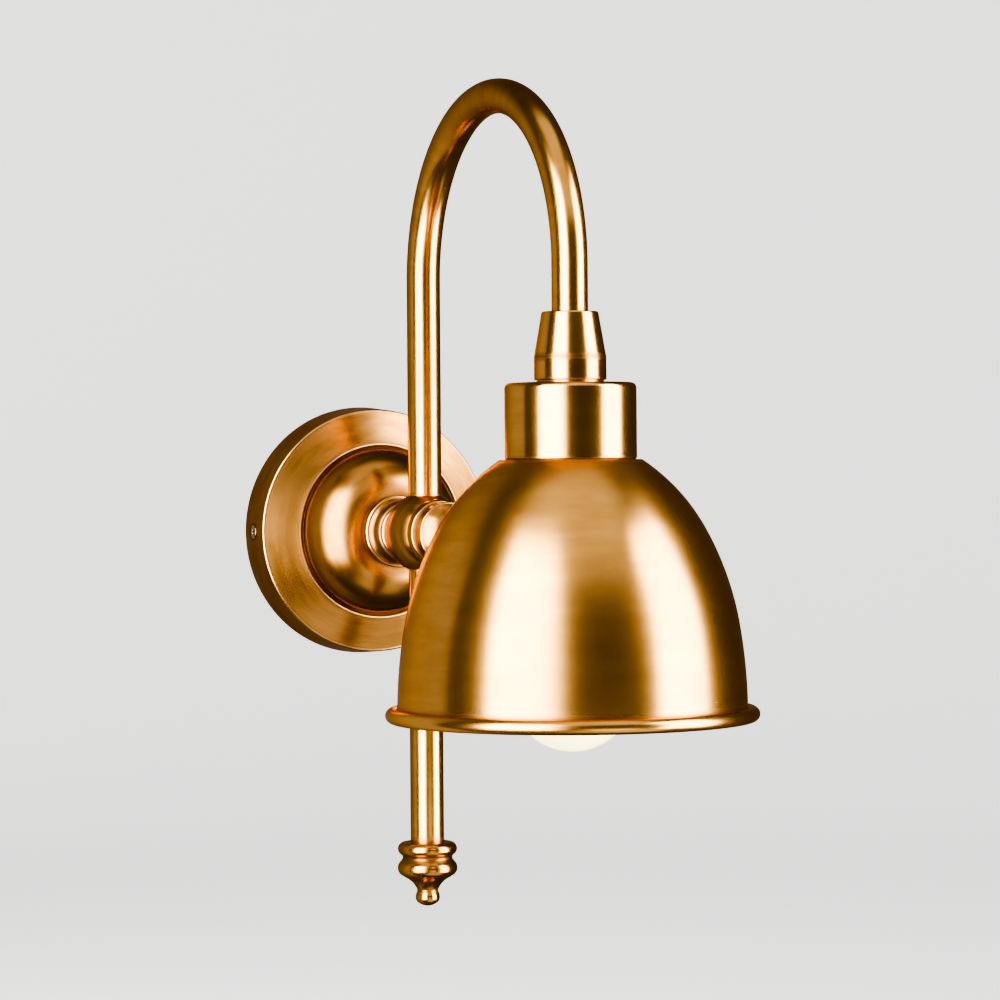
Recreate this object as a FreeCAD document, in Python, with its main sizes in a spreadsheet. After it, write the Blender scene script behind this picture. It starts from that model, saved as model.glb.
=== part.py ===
import FreeCAD, Part
import os, math
from FreeCAD import Vector, Placement, Rotation
import Sketcher

# Gooseneck wall sconce, millimetres. The wall is the plane y = 0 and the light stands out along -Y, +Z is up and
# the origin is the centre of the wall plate's back. "Out" below means the distance from the wall.
os.makedirs("parts", exist_ok=True)
doc = FreeCAD.newDocument("GooseneckSconce")
sheet = doc.addObject("Spreadsheet::Sheet", "Dims")
DIMS = [
    # the three axes everything hangs on
    ("stem_out", 66.0), ("arch_rad", 65.5), ("arch_height", 96.7),
    # tube of the gooseneck and the lower stem
    ("tube_rad", 6.5), ("tube_bore", 5.0), ("stem_socket", 8.0), ("stem_end", -123.4), ("bead_rad", 4.7),
    # wall plate
    ("plate_rad", 49.6), ("plate_face_rad", 48.5), ("plate_rim", 15.4), ("plate_edge", 1.0), ("plate_cone", 21.6),
    ("crease_rad", 34.5), ("roll_out", 20.9), ("roll_rad", 33.1), ("roll_size", 20.2), ("roll_end", 14.9),
    ("sheet_thick", 1.2), ("plate_top", 37.8), ("plate_hole", 5.6), ("plate_screw_out", 7.4),
    # strap behind the plate
    ("strap_half", 46.4), ("strap_wide", 25.0), ("strap_thick", 1.6), ("strap_bore", 9.0), ("slot_at", 30.0),
    ("slot_long", 14.0), ("slot_half", 2.25), ("lug_deep", 13.0), ("lug_wide", 12.0), ("lug_thick", 2.4),
    # knuckle and its swivel
    ("ball_rad", 15.6), ("ball_back", 13.1), ("ball_front", 11.2), ("spigot_rad", 5.0), ("spigot_bore", 3.2),
    ("collar_bore", 5.05), ("collar_front", 52.6), ("spigot_back", 28.0), ("pin_at", 9.8), ("pin_rad", 0.9),
    ("swivel_limit", 30.0), ("duct_rad", 4.2), ("cap_dome", 15.096154),
    # lampholder cap, gallery, shade
    ("cap_top", 80.1), ("cap_taper_end", 64.1), ("cap_low", 55.9), ("cap_rad", 12.85), ("cap_top_rad", 10.15),
    ("gallery_top", 55.0), ("gallery_rad", 23.4), ("gallery_wall", 1.1), ("gallery_round", 2.0),
    ("shade_top", 27.9), ("shade_wall", 0.9), ("dome_rad", 61.95), ("dome_foot", -62.0),
    ("dome_arc_a", 187.1), ("dome_arc_b", 107.3), ("dome_arc_c", 69.1), ("dome_turn_a", 9.95), ("dome_turn_b", 29.27),
    ("curl_rad", 2.6), ("curl_at", 63.65),
    ("nipple_rad", 5.0), ("nipple_bore", 3.5),
    # lampholder and lamp
    ("holder_rad", 19.6), ("holder_mouth", -24.0), ("shell_rad", 14.6), ("lead_rad", 0.9), ("lead_gap", 1.4),
    ("globe_rad", 22.5), ("globe_centre", -52.7), ("globe_wall", 0.8), ("screw_rad", 13.1),
]
for i, (alias, value) in enumerate(DIMS):
    cell = "B%d" % (i + 1)
    sheet.set("A%d" % (i + 1), "'" + alias)
    sheet.set(cell, repr(value))
    sheet.setAlias(cell, alias)
doc.recompute()


class Q:
    """A size that knows both its number and the expression on the sheet that gives it."""

    def __init__(self, v, t):
        self.v, self.t = float(v), t

    def __add__(self, o):
        o = q(o)
        return Q(self.v + o.v, "(%s + %s)" % (self.t, o.t))

    def __radd__(self, o):
        return q(o) + self

    def __sub__(self, o):
        o = q(o)
        return Q(self.v - o.v, "(%s - %s)" % (self.t, o.t))

    def __rsub__(self, o):
        return q(o) - self

    def __mul__(self, o):
        o = q(o)
        return Q(self.v * o.v, "(%s * %s)" % (self.t, o.t))

    def __rmul__(self, o):
        return q(o) * self

    def __neg__(self):
        return Q(-self.v, "(0 - %s)" % self.t)


def q(x):
    return x if isinstance(x, Q) else Q(x, "(0 - %r)" % -x if x < 0 else repr(float(x)))


def qcos(a):
    return Q(math.cos(math.radians(a.v)), "cos(%s * 1 deg)" % a.t)


def qsin(a):
    return Q(math.sin(math.radians(a.v)), "sin(%s * 1 deg)" % a.t)


D = {alias: Q(value, "Dims." + alias) for alias, value in DIMS}
NODES = {}


def node(name, obj):
    obj.Label = name
    NODES[name] = obj
    return obj


def plane(body, role):
    return [f for f in body.Origin.OriginFeatures if f.Role == role][0]


def place(obj, x=0, y=0, z=0, rot=None):
    obj.Placement = Placement(Vector(q(x).v, q(y).v, q(z).v), rot or Rotation())
    for a, v in zip("xyz", (x, y, z)):
        if isinstance(v, Q):
            obj.setExpression("Placement.Base." + a, v.t)
    return obj


def fix_point(sk, geo, pos, x, y):
    for kind, v, axis in (("DistanceX", q(x), -2), ("DistanceY", q(y), -1)):
        if abs(v.v) < 1e-9:
            sk.addConstraint(Sketcher.Constraint("PointOnObject", geo, pos, axis))
        elif v.v > 0:
            n = sk.addConstraint(Sketcher.Constraint(kind, -1, 1, geo, pos, v.v))
            sk.setExpression("Constraints[%d]" % n, v.t)
        else:
            n = sk.addConstraint(Sketcher.Constraint(kind, geo, pos, -1, 1, -v.v))
            sk.setExpression("Constraints[%d]" % n, (-v).t)


def outline(sk, pts, closed=True):
    """pts: (x, y) or (x, y, radius, (bulge x, bulge y)), the arc running on to the next point."""
    n = len(pts)
    ends = []
    count = n if closed else n - 1
    for i in range(count):
        p, nx = pts[i], pts[(i + 1) % n]
        a = Vector(q(p[0]).v, q(p[1]).v, 0)
        b = Vector(q(nx[0]).v, q(nx[1]).v, 0)
        if len(p) == 2:
            sk.addGeometry(Part.LineSegment(a, b), False)
            ends.append((1, 2))
            continue
        rad = q(p[2])
        ch = b - a
        nrm = Vector(-ch.y, ch.x, 0)
        nrm.normalize()
        if nrm.x * p[3][0] + nrm.y * p[3][1] < 0:
            nrm = nrm * -1
        half = ch.Length / 2
        c = (a + b) * 0.5 - nrm * math.sqrt(max(rad.v ** 2 - half ** 2, 0))
        ccw = (a - c).cross(b - c).z > 0
        s, e = (a, b) if ccw else (b, a)
        sk.addGeometry(Part.ArcOfCircle(Part.Circle(c, Vector(0, 0, 1), rad.v), math.atan2(s.y - c.y, s.x - c.x), math.atan2(e.y - c.y, e.x - c.x)), False)
        ends.append((1, 2) if ccw else (2, 1))
    for i in range(count if closed else count - 1):
        j = (i + 1) % count
        sk.addConstraint(Sketcher.Constraint("Coincident", i, ends[i][1], j, ends[j][0]))
    for i in range(count):
        fix_point(sk, i, ends[i][0], pts[i][0], pts[i][1])
        if len(pts[i]) > 2:
            k = sk.addConstraint(Sketcher.Constraint("Radius", i, q(pts[i][2]).v))
            sk.setExpression("Constraints[%d]" % k, q(pts[i][2]).t)
    if not closed:
        fix_point(sk, count - 1, ends[-1][1], pts[-1][0], pts[-1][1])


def turned(name, axis, pts, y=0, z=0):
    """A turned piece. pts: (along the axis, radius[, arc radius, (bulge along, bulge outwards)])."""
    body = doc.addObject("PartDesign::Body", name)
    sk = body.newObject("Sketcher::SketchObject", name + "_profile")
    if axis == "out":
        sk.AttachmentSupport = [(plane(body, "YZ_Plane"), "")]
        conv = [(-q(p[0]), q(p[1])) + ((p[2], (-p[3][0], p[3][1])) if len(p) > 2 else ()) for p in pts]
    else:
        sk.AttachmentSupport = [(plane(body, "XZ_Plane"), "")]
        conv = [(q(p[1]), q(p[0])) + ((p[2], (p[3][1], p[3][0])) if len(p) > 2 else ()) for p in pts]
    sk.MapMode = "FlatFace"
    outline(sk, conv)
    rev = body.newObject("PartDesign::Revolution", name + "_turned")
    rev.Profile = sk
    rev.ReferenceAxis = (sk, ["H_Axis" if axis == "out" else "V_Axis"])
    rev.Angle = 360
    place(body, 0, y, z)
    return body


OUT = Rotation(Vector(1, 0, 0), 90)
SIDE = Rotation(Vector(0, 1, 0), 90)


def size(obj, **kw):
    for k, v in kw.items():
        if k == "Polygon":
            obj.Polygon = v
            continue
        v = q(v)
        setattr(obj, k, v.v)
        if "Dims." in v.t:
            obj.setExpression(k, v.t)
    return obj


def rod(name, rad, length, x=0, y=0, z=0, way=None, rad2=None):
    kind = "Part::Cylinder" if rad2 is None else "Part::Cone"
    o = doc.addObject(kind, name)
    size(o, **({"Radius": rad} if rad2 is None else {"Radius1": rad, "Radius2": rad2}), Height=length)
    return place(o, x, y, z, way)


def block(name, lx, ly, lz, x=0, y=0, z=0):
    o = size(doc.addObject("Part::Box", name), Length=lx, Width=ly, Height=lz)
    return place(o, x, y, z)


def cut(name, base, tools):
    tool = tools[0]
    if len(tools) > 1:
        tool = doc.addObject("Part::MultiFuse", name + "_tools")
        tool.Shapes = tools
    o = doc.addObject("Part::Cut", name)
    o.Base, o.Tool = base, tool
    return o


def fuse(name, shapes):
    o = doc.addObject("Part::MultiFuse", name)
    o.Shapes = shapes
    return o


def group(name, shapes):
    o = doc.addObject("Part::Compound", name)
    o.Links = shapes
    return o


up, dn, outw, inw = (1, 0), (-1, 0), (0, 1), (0, -1)
stem_y = -D["stem_out"]
leg_y = -(D["stem_out"] + 2 * D["arch_rad"])
t = D["sheet_thick"]

# ---- wall plate: drafted rim, shallow cone face, a small step and a rolled bulge up to the collar's seat
c0 = D["plate_rim"] + D["plate_edge"]
rs, ro_, re_ = D["roll_size"], D["roll_rad"], D["roll_end"]
plate_body = turned("backplate_spun", "out", [
    (0, D["plate_rad"]), (D["plate_rim"], D["plate_face_rad"], 1.0, (1, 1)), (c0, D["plate_face_rad"] - 0.95),
    (D["plate_cone"], D["crease_rad"]), (D["plate_cone"] - 0.4, D["crease_rad"] - 0.6),
    (D["roll_out"], ro_, rs, (1, 1)), (D["plate_top"], re_), (D["plate_top"], D["plate_hole"]), (D["plate_top"] - t, D["plate_hole"]),
    (D["plate_top"] - t, re_ - 0.04, rs - t, (1, 1)), (D["roll_out"], ro_ - 1.216),
    (D["plate_cone"] - 2.0, D["crease_rad"] - 1.9), (D["plate_rim"] - 0.2, D["plate_face_rad"] - 1.8), (0, D["plate_rad"] - 1.4)])
so = D["plate_screw_out"]
tools = [rod("plate_pin_hole", D["pin_rad"], 6, 0, -33.5, D["pin_at"], OUT)]
for s, sg in (("l", -1), ("r", 1)):
    way = SIDE if sg > 0 else Rotation(Vector(0, 1, 0), -90)
    tools.append(rod("plate_side_hole_" + s, 1.9, 8, sg * 44.0, -so, 0, way))
    tools.append(rod("plate_side_sink_" + s, 1.9, 2.0, sg * (D["plate_rad"] - 1.7), -so, 0, way, rad2=4.6))
node("backplate", cut("backplate", plate_body, tools))

# ---- steel strap that the box or the wall takes, with two lugs for the plate's side screws and a tab for the block
sh, sw, st = D["strap_half"], D["strap_wide"], D["strap_thick"]
solids = [block("strap_flat", 2 * sh, st, sw, -sh, -st, -0.5 * sw),
          block("strap_tab", 20, st, 24, -10, -st, 11)]
tools = [rod("strap_bore_cut", D["strap_bore"], 6, 0, 2, 0, OUT), rod("strap_earth_tap", 1.65, 6, -17.5, 2, -8.5, OUT),
         rod("strap_block_tap", 1.2, 6, 4, 2, 24, OUT)]
for s, sg in (("l", -1), ("r", 1)):
    x0 = -sh if sg < 0 else sh - D["lug_thick"]
    solids.append(block("strap_lug_" + s, D["lug_thick"], D["lug_deep"], D["lug_wide"], x0, -D["lug_deep"], -0.5 * D["lug_wide"]))
    tools.append(rod("strap_lug_tap_" + s, 1.5, 6, sg * 42.0, -so, 0, SIDE if sg > 0 else Rotation(Vector(0, 1, 0), -90)))
    run = D["slot_long"] - 2 * D["slot_half"]
    tools.append(block("strap_slot_mid_" + s, run, 6, 2 * D["slot_half"], sg * D["slot_at"] - 0.5 * run, -4, -D["slot_half"]))
    for e in (-1, 1):
        tools.append(rod("strap_slot_end_%s%d" % (s, e + 1), D["slot_half"], 6, sg * D["slot_at"] + e * 0.5 * run, 2, 0, OUT))
node("mounting_bracket", cut("mounting_bracket", fuse("bracket_blank", solids), tools))

# ---- side screws: countersunk raised heads with a cross recess
screws = []
for s, sg in (("l", -1), ("r", 1)):
    way = SIDE if sg > 0 else Rotation(Vector(0, 1, 0), -90)
    xh = D["plate_rad"] - 1.7
    sc = fuse("side_screw_blank_" + s, [rod("side_screw_shank_" + s, 1.5, 8.2, sg * (xh - 7.6), -so, 0, way),
                                        rod("side_screw_cone_" + s, 1.5, 1.1, sg * xh, -so, 0, way, rad2=2.9),
                                        rod("side_screw_rise_" + s, 2.9, 0.4, sg * (xh + 1.1), -so, 0, way, rad2=2.3)])
    xc = xh + 0.7 if sg > 0 else -(xh + 1.9)
    screws.append(cut("side_screw_" + s, sc, [block("side_screw_rec_a" + s, 1.2, 0.7, 3.2, xc, -so - 0.35, -1.6),
                                             block("side_screw_rec_b" + s, 1.2, 3.2, 0.7, xc, -so - 1.6, -0.35)]))
node("backplate_side_screws", group("backplate_side_screws", screws))

# ---- earth screw with its cup washer on the strap
node("earth_cup_washer", turned("earth_cup_washer", "out", [(1.6, 2.1), (2.3, 2.1), (2.3, 4.0), (3.1, 4.4), (3.1, 5.0), (1.6, 5.0)], 0, -8.5))
NODES["earth_cup_washer"].Placement.Base.x = -17.5
es = turned("earth_screw_blank", "out", [(-1.0 + 1.0, 0), (0, 1.65), (2.3, 1.65), (2.3, 3.4), (3.9, 3.4), (4.6, 2.6), (4.9, 0)], 0, -8.5)
es.Placement.Base.x = -17.5
node("earth_screw", cut("earth_screw", es, [block("earth_screw_slot", 7.4, 1.6, 0.8, -21.2, -5.4, -8.9)]))

# ---- three-way terminal block on the strap's tab
blk = block("block_blank", 25, 11.4, 15, -12.5, -13.0, 16.5)
tools, ins, scr = [], [], []
for i, x in enumerate((-8.0, 0.0, 8.0)):
    tools.append(rod("block_way_%d" % i, 2.2, 19, x, -7.0, 14.5))
    tools.append(rod("block_well_a%d" % i, 1.7, 8, x, -7.0, 20.0, OUT))
    tools.append(rod("block_well_b%d" % i, 1.7, 8, x, -7.0, 28.0, OUT))
    ins.append(cut("block_sleeve_%d" % i, rod("block_sleeve_o%d" % i, 2.2, 13, x, -7.0, 17.5),
                   [rod("block_sleeve_i%d" % i, 1.35, 15, x, -7.0, 16.5)]))
    for k, zz in (("a", 20.0), ("b", 28.0)):
        b = rod("block_screw_o%s%d" % (k, i), 1.5, 2.6, x, -9.25, zz, OUT)
        scr.append(cut("block_screw_%s%d" % (k, i), b, [block("block_screw_s%s%d" % (k, i), 4, 0.7, 0.5, x - 2, -11.9, zz - 0.25)]))
tools += [rod("block_fix_hole", 1.35, 14, 4.0, 0, 24.0, OUT), rod("block_fix_well", 2.4, 4, 4.0, -9.8, 24.0, OUT),
          rod("block_fix_hole_b", 1.35, 14, -4.0, 0, 24.0, OUT)]
node("terminal_block", cut("terminal_block", blk, tools))
node("terminal_sleeves", group("terminal_sleeves", ins))
node("terminal_screws", group("terminal_screws", scr))
fx = turned("block_fixing_blank", "out", [(0, 0), (0, 1.2), (9.8, 1.2), (9.8, 2.3), (11.0, 2.3), (11.5, 1.5), (11.5, 0)], 0, 24)
fx.Placement.Base.x = 4.0
node("terminal_block_screw", cut("terminal_block_screw", fx, [block("block_fixing_slot", 5, 1, 0.6, 1.5, -11.7, 23.7)]))

# ---- collar: three beads, bored for the swivel spigot
cp, cf, cb = D["plate_top"], D["collar_front"], D["collar_bore"]
collar = turned("collar_turned", "out", [
    (cp, cb), (cp, 13.7), (cp + 0.35, 14.2), (cp + 2.5, 14.2), (cp + 2.85, 13.8), (cp + 3.0, 13.2, 4.2, (-1, -1)), (cp + 7.0, 10.9),
    (cp + 7.1, 11.0, 1.25, outw), (cp + 9.2, 11.0), (cp + 9.4, 10.5), (cp + 9.6, 10.7, 1.15, outw), (cp + 11.6, 10.7),
    (cp + 11.9, 10.1), (cf - 1.0, 9.3), (cf, 8.5), (cf, cb)])
node("arm_collar", cut("arm_collar", collar, [rod("collar_pin_hole", D["pin_rad"], 3.0, 0, -cp + 0.5, D["pin_at"], OUT)]))
node("swivel_stop_pin", rod("swivel_stop_pin", D["pin_rad"], 6.6, 0, -33.2, D["pin_at"], OUT))
fw = D["plate_top"] - t
node("swivel_friction_washer", turned("swivel_friction_washer", "out", [(fw - 1.0, D["plate_hole"]), (fw - 1.0, 8.4), (fw, 8.4), (fw, D["plate_hole"])]))

# ---- swivelling side: spigot, notched stop washer, wave washer, locknut, ball
sr, sb = D["spigot_rad"], D["spigot_bore"]
bd, bb, bf = D["stem_out"], D["ball_back"], D["ball_front"]
spig_end = bd - bb + 7.6
node("swivel_spigot", turned("swivel_spigot", "out", [(D["spigot_back"], sb + 0.3), (D["spigot_back"], sr - 0.5), (D["spigot_back"] + 0.5, sr), (spig_end, sr), (spig_end, sb), (D["spigot_back"] + 0.3, sb)]))
sw0 = fw - 1.3 - 1.4
disc = turned("stop_washer_disc", "out", [(sw0, sr), (sw0, 11.8), (sw0 + 1.4, 11.8), (sw0 + 1.4, sr)])
notch = doc.addObject("Part::Cylinder", "stop_notch")
size(notch, Radius=13, Height=4, Angle=2 * D["swivel_limit"] + 14.4)
notch.Placement = Placement(Vector(0, -(sw0.v - 1), 0), Rotation(Vector(0, 1, 0), -90 + D["swivel_limit"].v + 7.2) * OUT)
core = rod("stop_notch_core", 8.5, 4, 0, -(sw0 - 1), 0, OUT)
node("swivel_stop_washer", cut("swivel_stop_washer", disc, [cut("stop_notch_sector", notch, [core])]))
node("swivel_wave_washer", turned("swivel_wave_washer", "out", [(sw0 - 0.9, sr), (sw0 - 0.9, 8.2), (sw0, 8.2), (sw0, sr)]))
nut = size(doc.addObject("Part::Prism", "locknut_hex"), Polygon=6, Circumradius=8.1, Height=3.6)
place(nut, 0, -(sw0 - 0.9 - 3.6), 0, OUT)
node("swivel_locknut", cut("swivel_locknut", nut, [rod("locknut_bore", sr, 6, 0, -(sw0 - 5.6), 0, OUT)]))

rb = D["ball_rad"]
bbr, bfr = math.sqrt(rb.v ** 2 - bb.v ** 2), math.sqrt(rb.v ** 2 - bf.v ** 2)
ball = turned("ball_turned", "out", [(bd - bb, 0), (bd - bb, bbr, rb, (-1, 1)), (bd, rb, rb, (1, 1)), (bd + bf, bfr), (bd + bf, 0)])
tr, sk_ = D["tube_rad"], D["stem_socket"]
node("knuckle_ball", cut("knuckle_ball", ball, [
    rod("ball_top_socket", tr, 12, 0, stem_y, sk_), rod("ball_low_socket", tr, 12, 0, stem_y, -sk_ - 12),
    rod("ball_duct", D["duct_rad"], 2 * sk_, 0, stem_y, -sk_), rod("ball_spigot_socket", sr, 7.6, 0, -(bd - bb), 0, OUT),
    rod("ball_cross_duct", sb, bb, 0, -(bd - bb), 0, OUT), rod("ball_stud_socket", 4.0, 9.0, 0, -(bd + bf - 6.2), 0, OUT)]))
kc = bd + bf
node("knuckle_cap", turned("knuckle_cap", "out", [
    (kc - 5.8, 0), (kc - 5.8, 4.0), (kc, 4.0), (kc, 11.6), (kc + 0.5, 12.3, 3.2, outw), (kc + 4.9, 12.3), (kc + 5.2, 11.6),
    (kc + 5.9, 11.1, 0.7, inw), (kc + 6.8, 11.3), (kc + 7.2, 11.9), (kc + 11.6, 12.15, 0.9, (1, 1)), (kc + 12.4, 11.4, D["cap_dome"], (1, 0.35)), (kc + 17.6, 0)]))

# ---- gooseneck: one bent tube, swept along a line, a half circle and a line
def swept_tube(name, path, outer, inner, at, lift):
    body = doc.addObject("PartDesign::Body", name)
    sp = body.newObject("Sketcher::SketchObject", name + "_path")
    sp.AttachmentSupport = [(plane(body, "YZ_Plane"), "")]
    sp.MapMode = "FlatFace"
    outline(sp, path, closed=False)
    ring = body.newObject("Sketcher::SketchObject", name + "_ring")
    ring.AttachmentSupport = [(plane(body, "XY_Plane"), "")]
    ring.MapMode = "FlatFace"
    ring.AttachmentOffset = Placement(Vector(0, 0, q(lift).v), Rotation())
    ring.setExpression("AttachmentOffset.Base.z", q(lift).t)
    for k, rad in enumerate((outer, inner)):
        if rad is None:
            continue
        ring.addGeometry(Part.Circle(Vector(0, 0, 0), Vector(0, 0, 1), rad.v), False)
        ring.addConstraint(Sketcher.Constraint("Coincident", k, 3, -1, 1))
        n = ring.addConstraint(Sketcher.Constraint("Radius", k, rad.v))
        ring.setExpression("Constraints[%d]" % n, rad.t)
    doc.recompute()
    pipe = body.newObject("PartDesign::AdditivePipe", name + "_sweep")
    pipe.Profile = ring
    pipe.Spine = (sp, ["Edge%d" % (i + 1) for i in range(len(path) - 1)])
    return place(body, 0, at, 0)


ar, ah = D["arch_rad"], D["arch_height"]
nip_top = D["cap_top"] - 2.6
tube_low = D["cap_taper_end"] - 0.6
node("gooseneck_tube", swept_tube("gooseneck_tube", [
    (0, sk_), (0, ah, ar, (1, 1)), (-ar, ah + ar, ar, (-1, 1)), (-2 * ar, ah), (-2 * ar, tube_low)], tr, D["tube_bore"], stem_y, sk_))
se = D["stem_end"]
node("lower_stem", turned("lower_stem", "up", [(-sk_, D["tube_bore"]), (-sk_, tr), (se, tr), (se, D["tube_bore"])], stem_y))

# ---- finial: two collars, a groove, an ogee and a small ball, bored for the stem
node("finial", turned("finial", "up", [
    (se, 0), (se, tr), (-119.9, tr), (-119.9, 9.6), (-120.2, 10.2, 2.6, outw), (-124.4, 10.6), (-125.0, 9.9, 1.3, inw),
    (-126.6, 9.9), (-127.6, 10.7, 3.4, outw), (-132.4, 10.5), (-133.6, 8.6, 9.0, (-1, -1)), (-138.2, 4.15), (-139.0, 4.0410, D["bead_rad"], outw),
    (-141.4, D["bead_rad"], D["bead_rad"] - 2.1538462, (-1, 1)), (-143.3904232, 3.7416481, 6.0, (-1, 0.4)), (-144.7, 0)], stem_y))

# ---- lampholder cap, nipple, spacer, gallery, washer and nut
ct, cte, cl, cr = D["cap_top"], D["cap_taper_end"], D["cap_low"], D["cap_rad"]
node("lampholder_cap", turned("lampholder_cap", "up", [
    (ct, tr), (ct, D["cap_top_rad"] - 0.7, 0.7, (1, 1)), (ct - 0.6, D["cap_top_rad"]), (cte, cr - 0.05), (cl + 0.3, cr), (cl, cr - 0.3), (cl, 11.5),
    (cte - 2.6, 11.5), (cte - 0.6, 9.4), (cte - 0.6, tr)], leg_y))
nr, nb = D["nipple_rad"], D["nipple_bore"]
node("threaded_nipple", turned("threaded_nipple", "up", [(20.0, nb), (20.0, nr), (nip_top, nr), (nip_top, nb)], leg_y))
gt, gr, gw, gd, stp = D["gallery_top"], D["gallery_rad"], D["gallery_wall"], D["gallery_round"], D["shade_top"]
node("gallery_spacer", turned("gallery_spacer", "up", [(gt, nr), (gt, 11.9), (cl, 11.9), (cl, nr)], leg_y))
node("shade_gallery", turned("shade_gallery", "up", [
    (gt, nr), (gt, gr - gd, gd, (1, 1)), (gt - gd, gr), (stp + 0.5, gr), (stp, gr - 0.3), (stp, gr - gw), (gt - gd, gr - gw, gd - gw, (1, 1)), (gt - gw, gr - gd), (gt - gw, nr)], leg_y))
node("gallery_washer", turned("gallery_washer", "up", [(stp, nr), (stp, 10.5), (stp + 1.2, 10.5), (stp + 1.2, nr)], leg_y))
gn = size(doc.addObject("Part::Prism", "gallery_nut_hex"), Polygon=6, Circumradius=8.1, Height=4)
place(gn, 0, leg_y, stp + 1.2)
node("gallery_nut", cut("gallery_nut", gn, [rod("gallery_nut_bore", nr, 8, 0, leg_y, stp)]))

# ---- shade: flat seat, three tangent arcs, a straight foot and an edge curled outwards
ra, rb_, rc = D["dome_arc_a"], D["dome_arc_b"], D["dome_arc_c"]
ta, tb = D["dome_turn_a"], D["dome_turn_b"]
w, dr, df = D["shade_wall"], D["dome_rad"], D["dome_foot"]
ax, az_ = dr - ra, df
bx, bz = ax + (ra - rb_) * qcos(ta), az_ + (ra - rb_) * qsin(ta)
cx, cz = bx + (rb_ - rc) * qcos(tb), bz + (rb_ - rc) * qsin(tb)
tc = Q(math.degrees(math.asin((stp.v - cz.v) / rc.v)), "(asin((%s - %s) / %s) / 1 deg)" % (stp.t, cz.t, rc.t))
tc_in = Q(math.degrees(math.asin((stp.v - w.v - cz.v) / (rc.v - w.v))), "(asin((%s - %s - %s) / (%s - %s)) / 1 deg)" % (stp.t, w.t, cz.t, rc.t, w.t))


def on(x, z, rad, ang):
    return (z + rad * qsin(ang), x + rad * qcos(ang))


cu, cux = D["curl_rad"], D["curl_at"]
tip = Q(126.0, "126.0")
# the dome's foot runs straight into the edge, curled outwards with the same inner radius
sp_pts = [
    (stp, nr), on(cx, cz, rc, tc) + (rc, (1, 1)), on(cx, cz, rc, tb) + (rb_, (0.3, 1)), on(bx, bz, rb_, ta) + (ra, outw), (df, dr, cu - w, (-1, -1)),
    (df - (cu - w), cux, cu - w, (-1, 1)), (df, cux + cu - w, cu - w, (1, 1)),
    (df + (cu - w), cux, cu - w, (1, -1)), (df + (cu - w) * qsin(tip), cux + (cu - w) * qcos(tip)),
    (df + cu * qsin(tip), cux + cu * qcos(tip), cu, (1, -1)), (df + cu, cux, cu, (1, 1)), (df, cux + cu, cu, (-1, 1)), (df - cu, cux, cu, (-1, -1)),
    (df, dr - w, ra - w, outw), on(bx, bz, rb_ - w, ta) + (rb_ - w, (0.3, 1)), on(cx, cz, rc - w, tb) + (rc - w, (1, 1)),
    on(cx, cz, rc - w, tc_in), (stp - w, nr)]
node("shade", turned("shade", "up", sp_pts, leg_y))

# ---- lampholder: moulded body, ceramic contact disc, screw shell, tongue contact, terminals
hr, hm, shr = D["holder_rad"], D["holder_mouth"], D["shell_rad"]
ht = stp - w
node("lampholder_body", turned("lampholder_body", "up", [
    (ht, nr), (ht, 12.5), (ht - 1.2, 14.0), (ht - 4.0, 16.6), (5.0, 17.8), (3.8, 18.4), (3.0, hr), (hm + 0.6, hr), (hm, hr - 0.6), (hm, shr + 0.5), (hm + 0.5, shr),
    (9.2, shr), (9.2, 12.6), (22.4, 12.6), (22.4, nr)], leg_y))
ins_body = turned("insert_turned", "up", [(3.4, 1.5), (3.4, shr), (9.2, shr), (9.2, 1.5)], leg_y)
node("lampholder_insert", cut("lampholder_insert", ins_body, [rod("insert_side_slot", 0.6, 8, 6.5, leg_y, 2)]))
node("holder_screw_shell", turned("holder_screw_shell", "up", [
    (hm + 1.0, shr - 0.45), (hm + 1.0, shr), (3.4, shr), (3.4, shr - 0.45)], leg_y))
node("holder_centre_contact", turned("holder_centre_contact", "up", [(2.4, 0), (2.4, 4.6), (3.2, 5.2), (3.4, 5.2), (3.4, 1.5), (10.2, 1.5), (10.2, 0)], leg_y))
posts, tscr = [], []
for s, sg in (("l", -1), ("r", 1)):
    x0 = -5.6 if sg < 0 else 1.8
    b = block("post_blank_" + s, 3.8, 6.0, 5.4, x0, leg_y - 3.0, 9.2)
    tl = [rod("post_screw_tap_" + s, 1.2, 3.2, x0 + 1.9, leg_y - 1.0, 12.0, OUT), rod("post_way_" + s, 1.3, 3, x0 + 1.9, leg_y, 12.6)]
    posts.append(cut("holder_post_" + s, b, tl))
    o = turned("post_screw_blank_" + s, "out", [(1.0, 0), (1.0, 1.2), (3.1, 1.2), (3.1, 2.1), (4.3, 2.1), (4.7, 1.4), (4.7, 0)], leg_y, 12.0)
    o.Placement.Base.x = x0 + 1.9
    tscr.append(cut("post_screw_" + s, o, [block("post_screw_slot_" + s, 4.6, 1.0, 0.6, x0 - 0.4, leg_y - 5.2, 11.7)]))
node("holder_terminals", group("holder_terminals", posts))
node("holder_terminal_screws", group("holder_terminal_screws", tscr))

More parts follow.
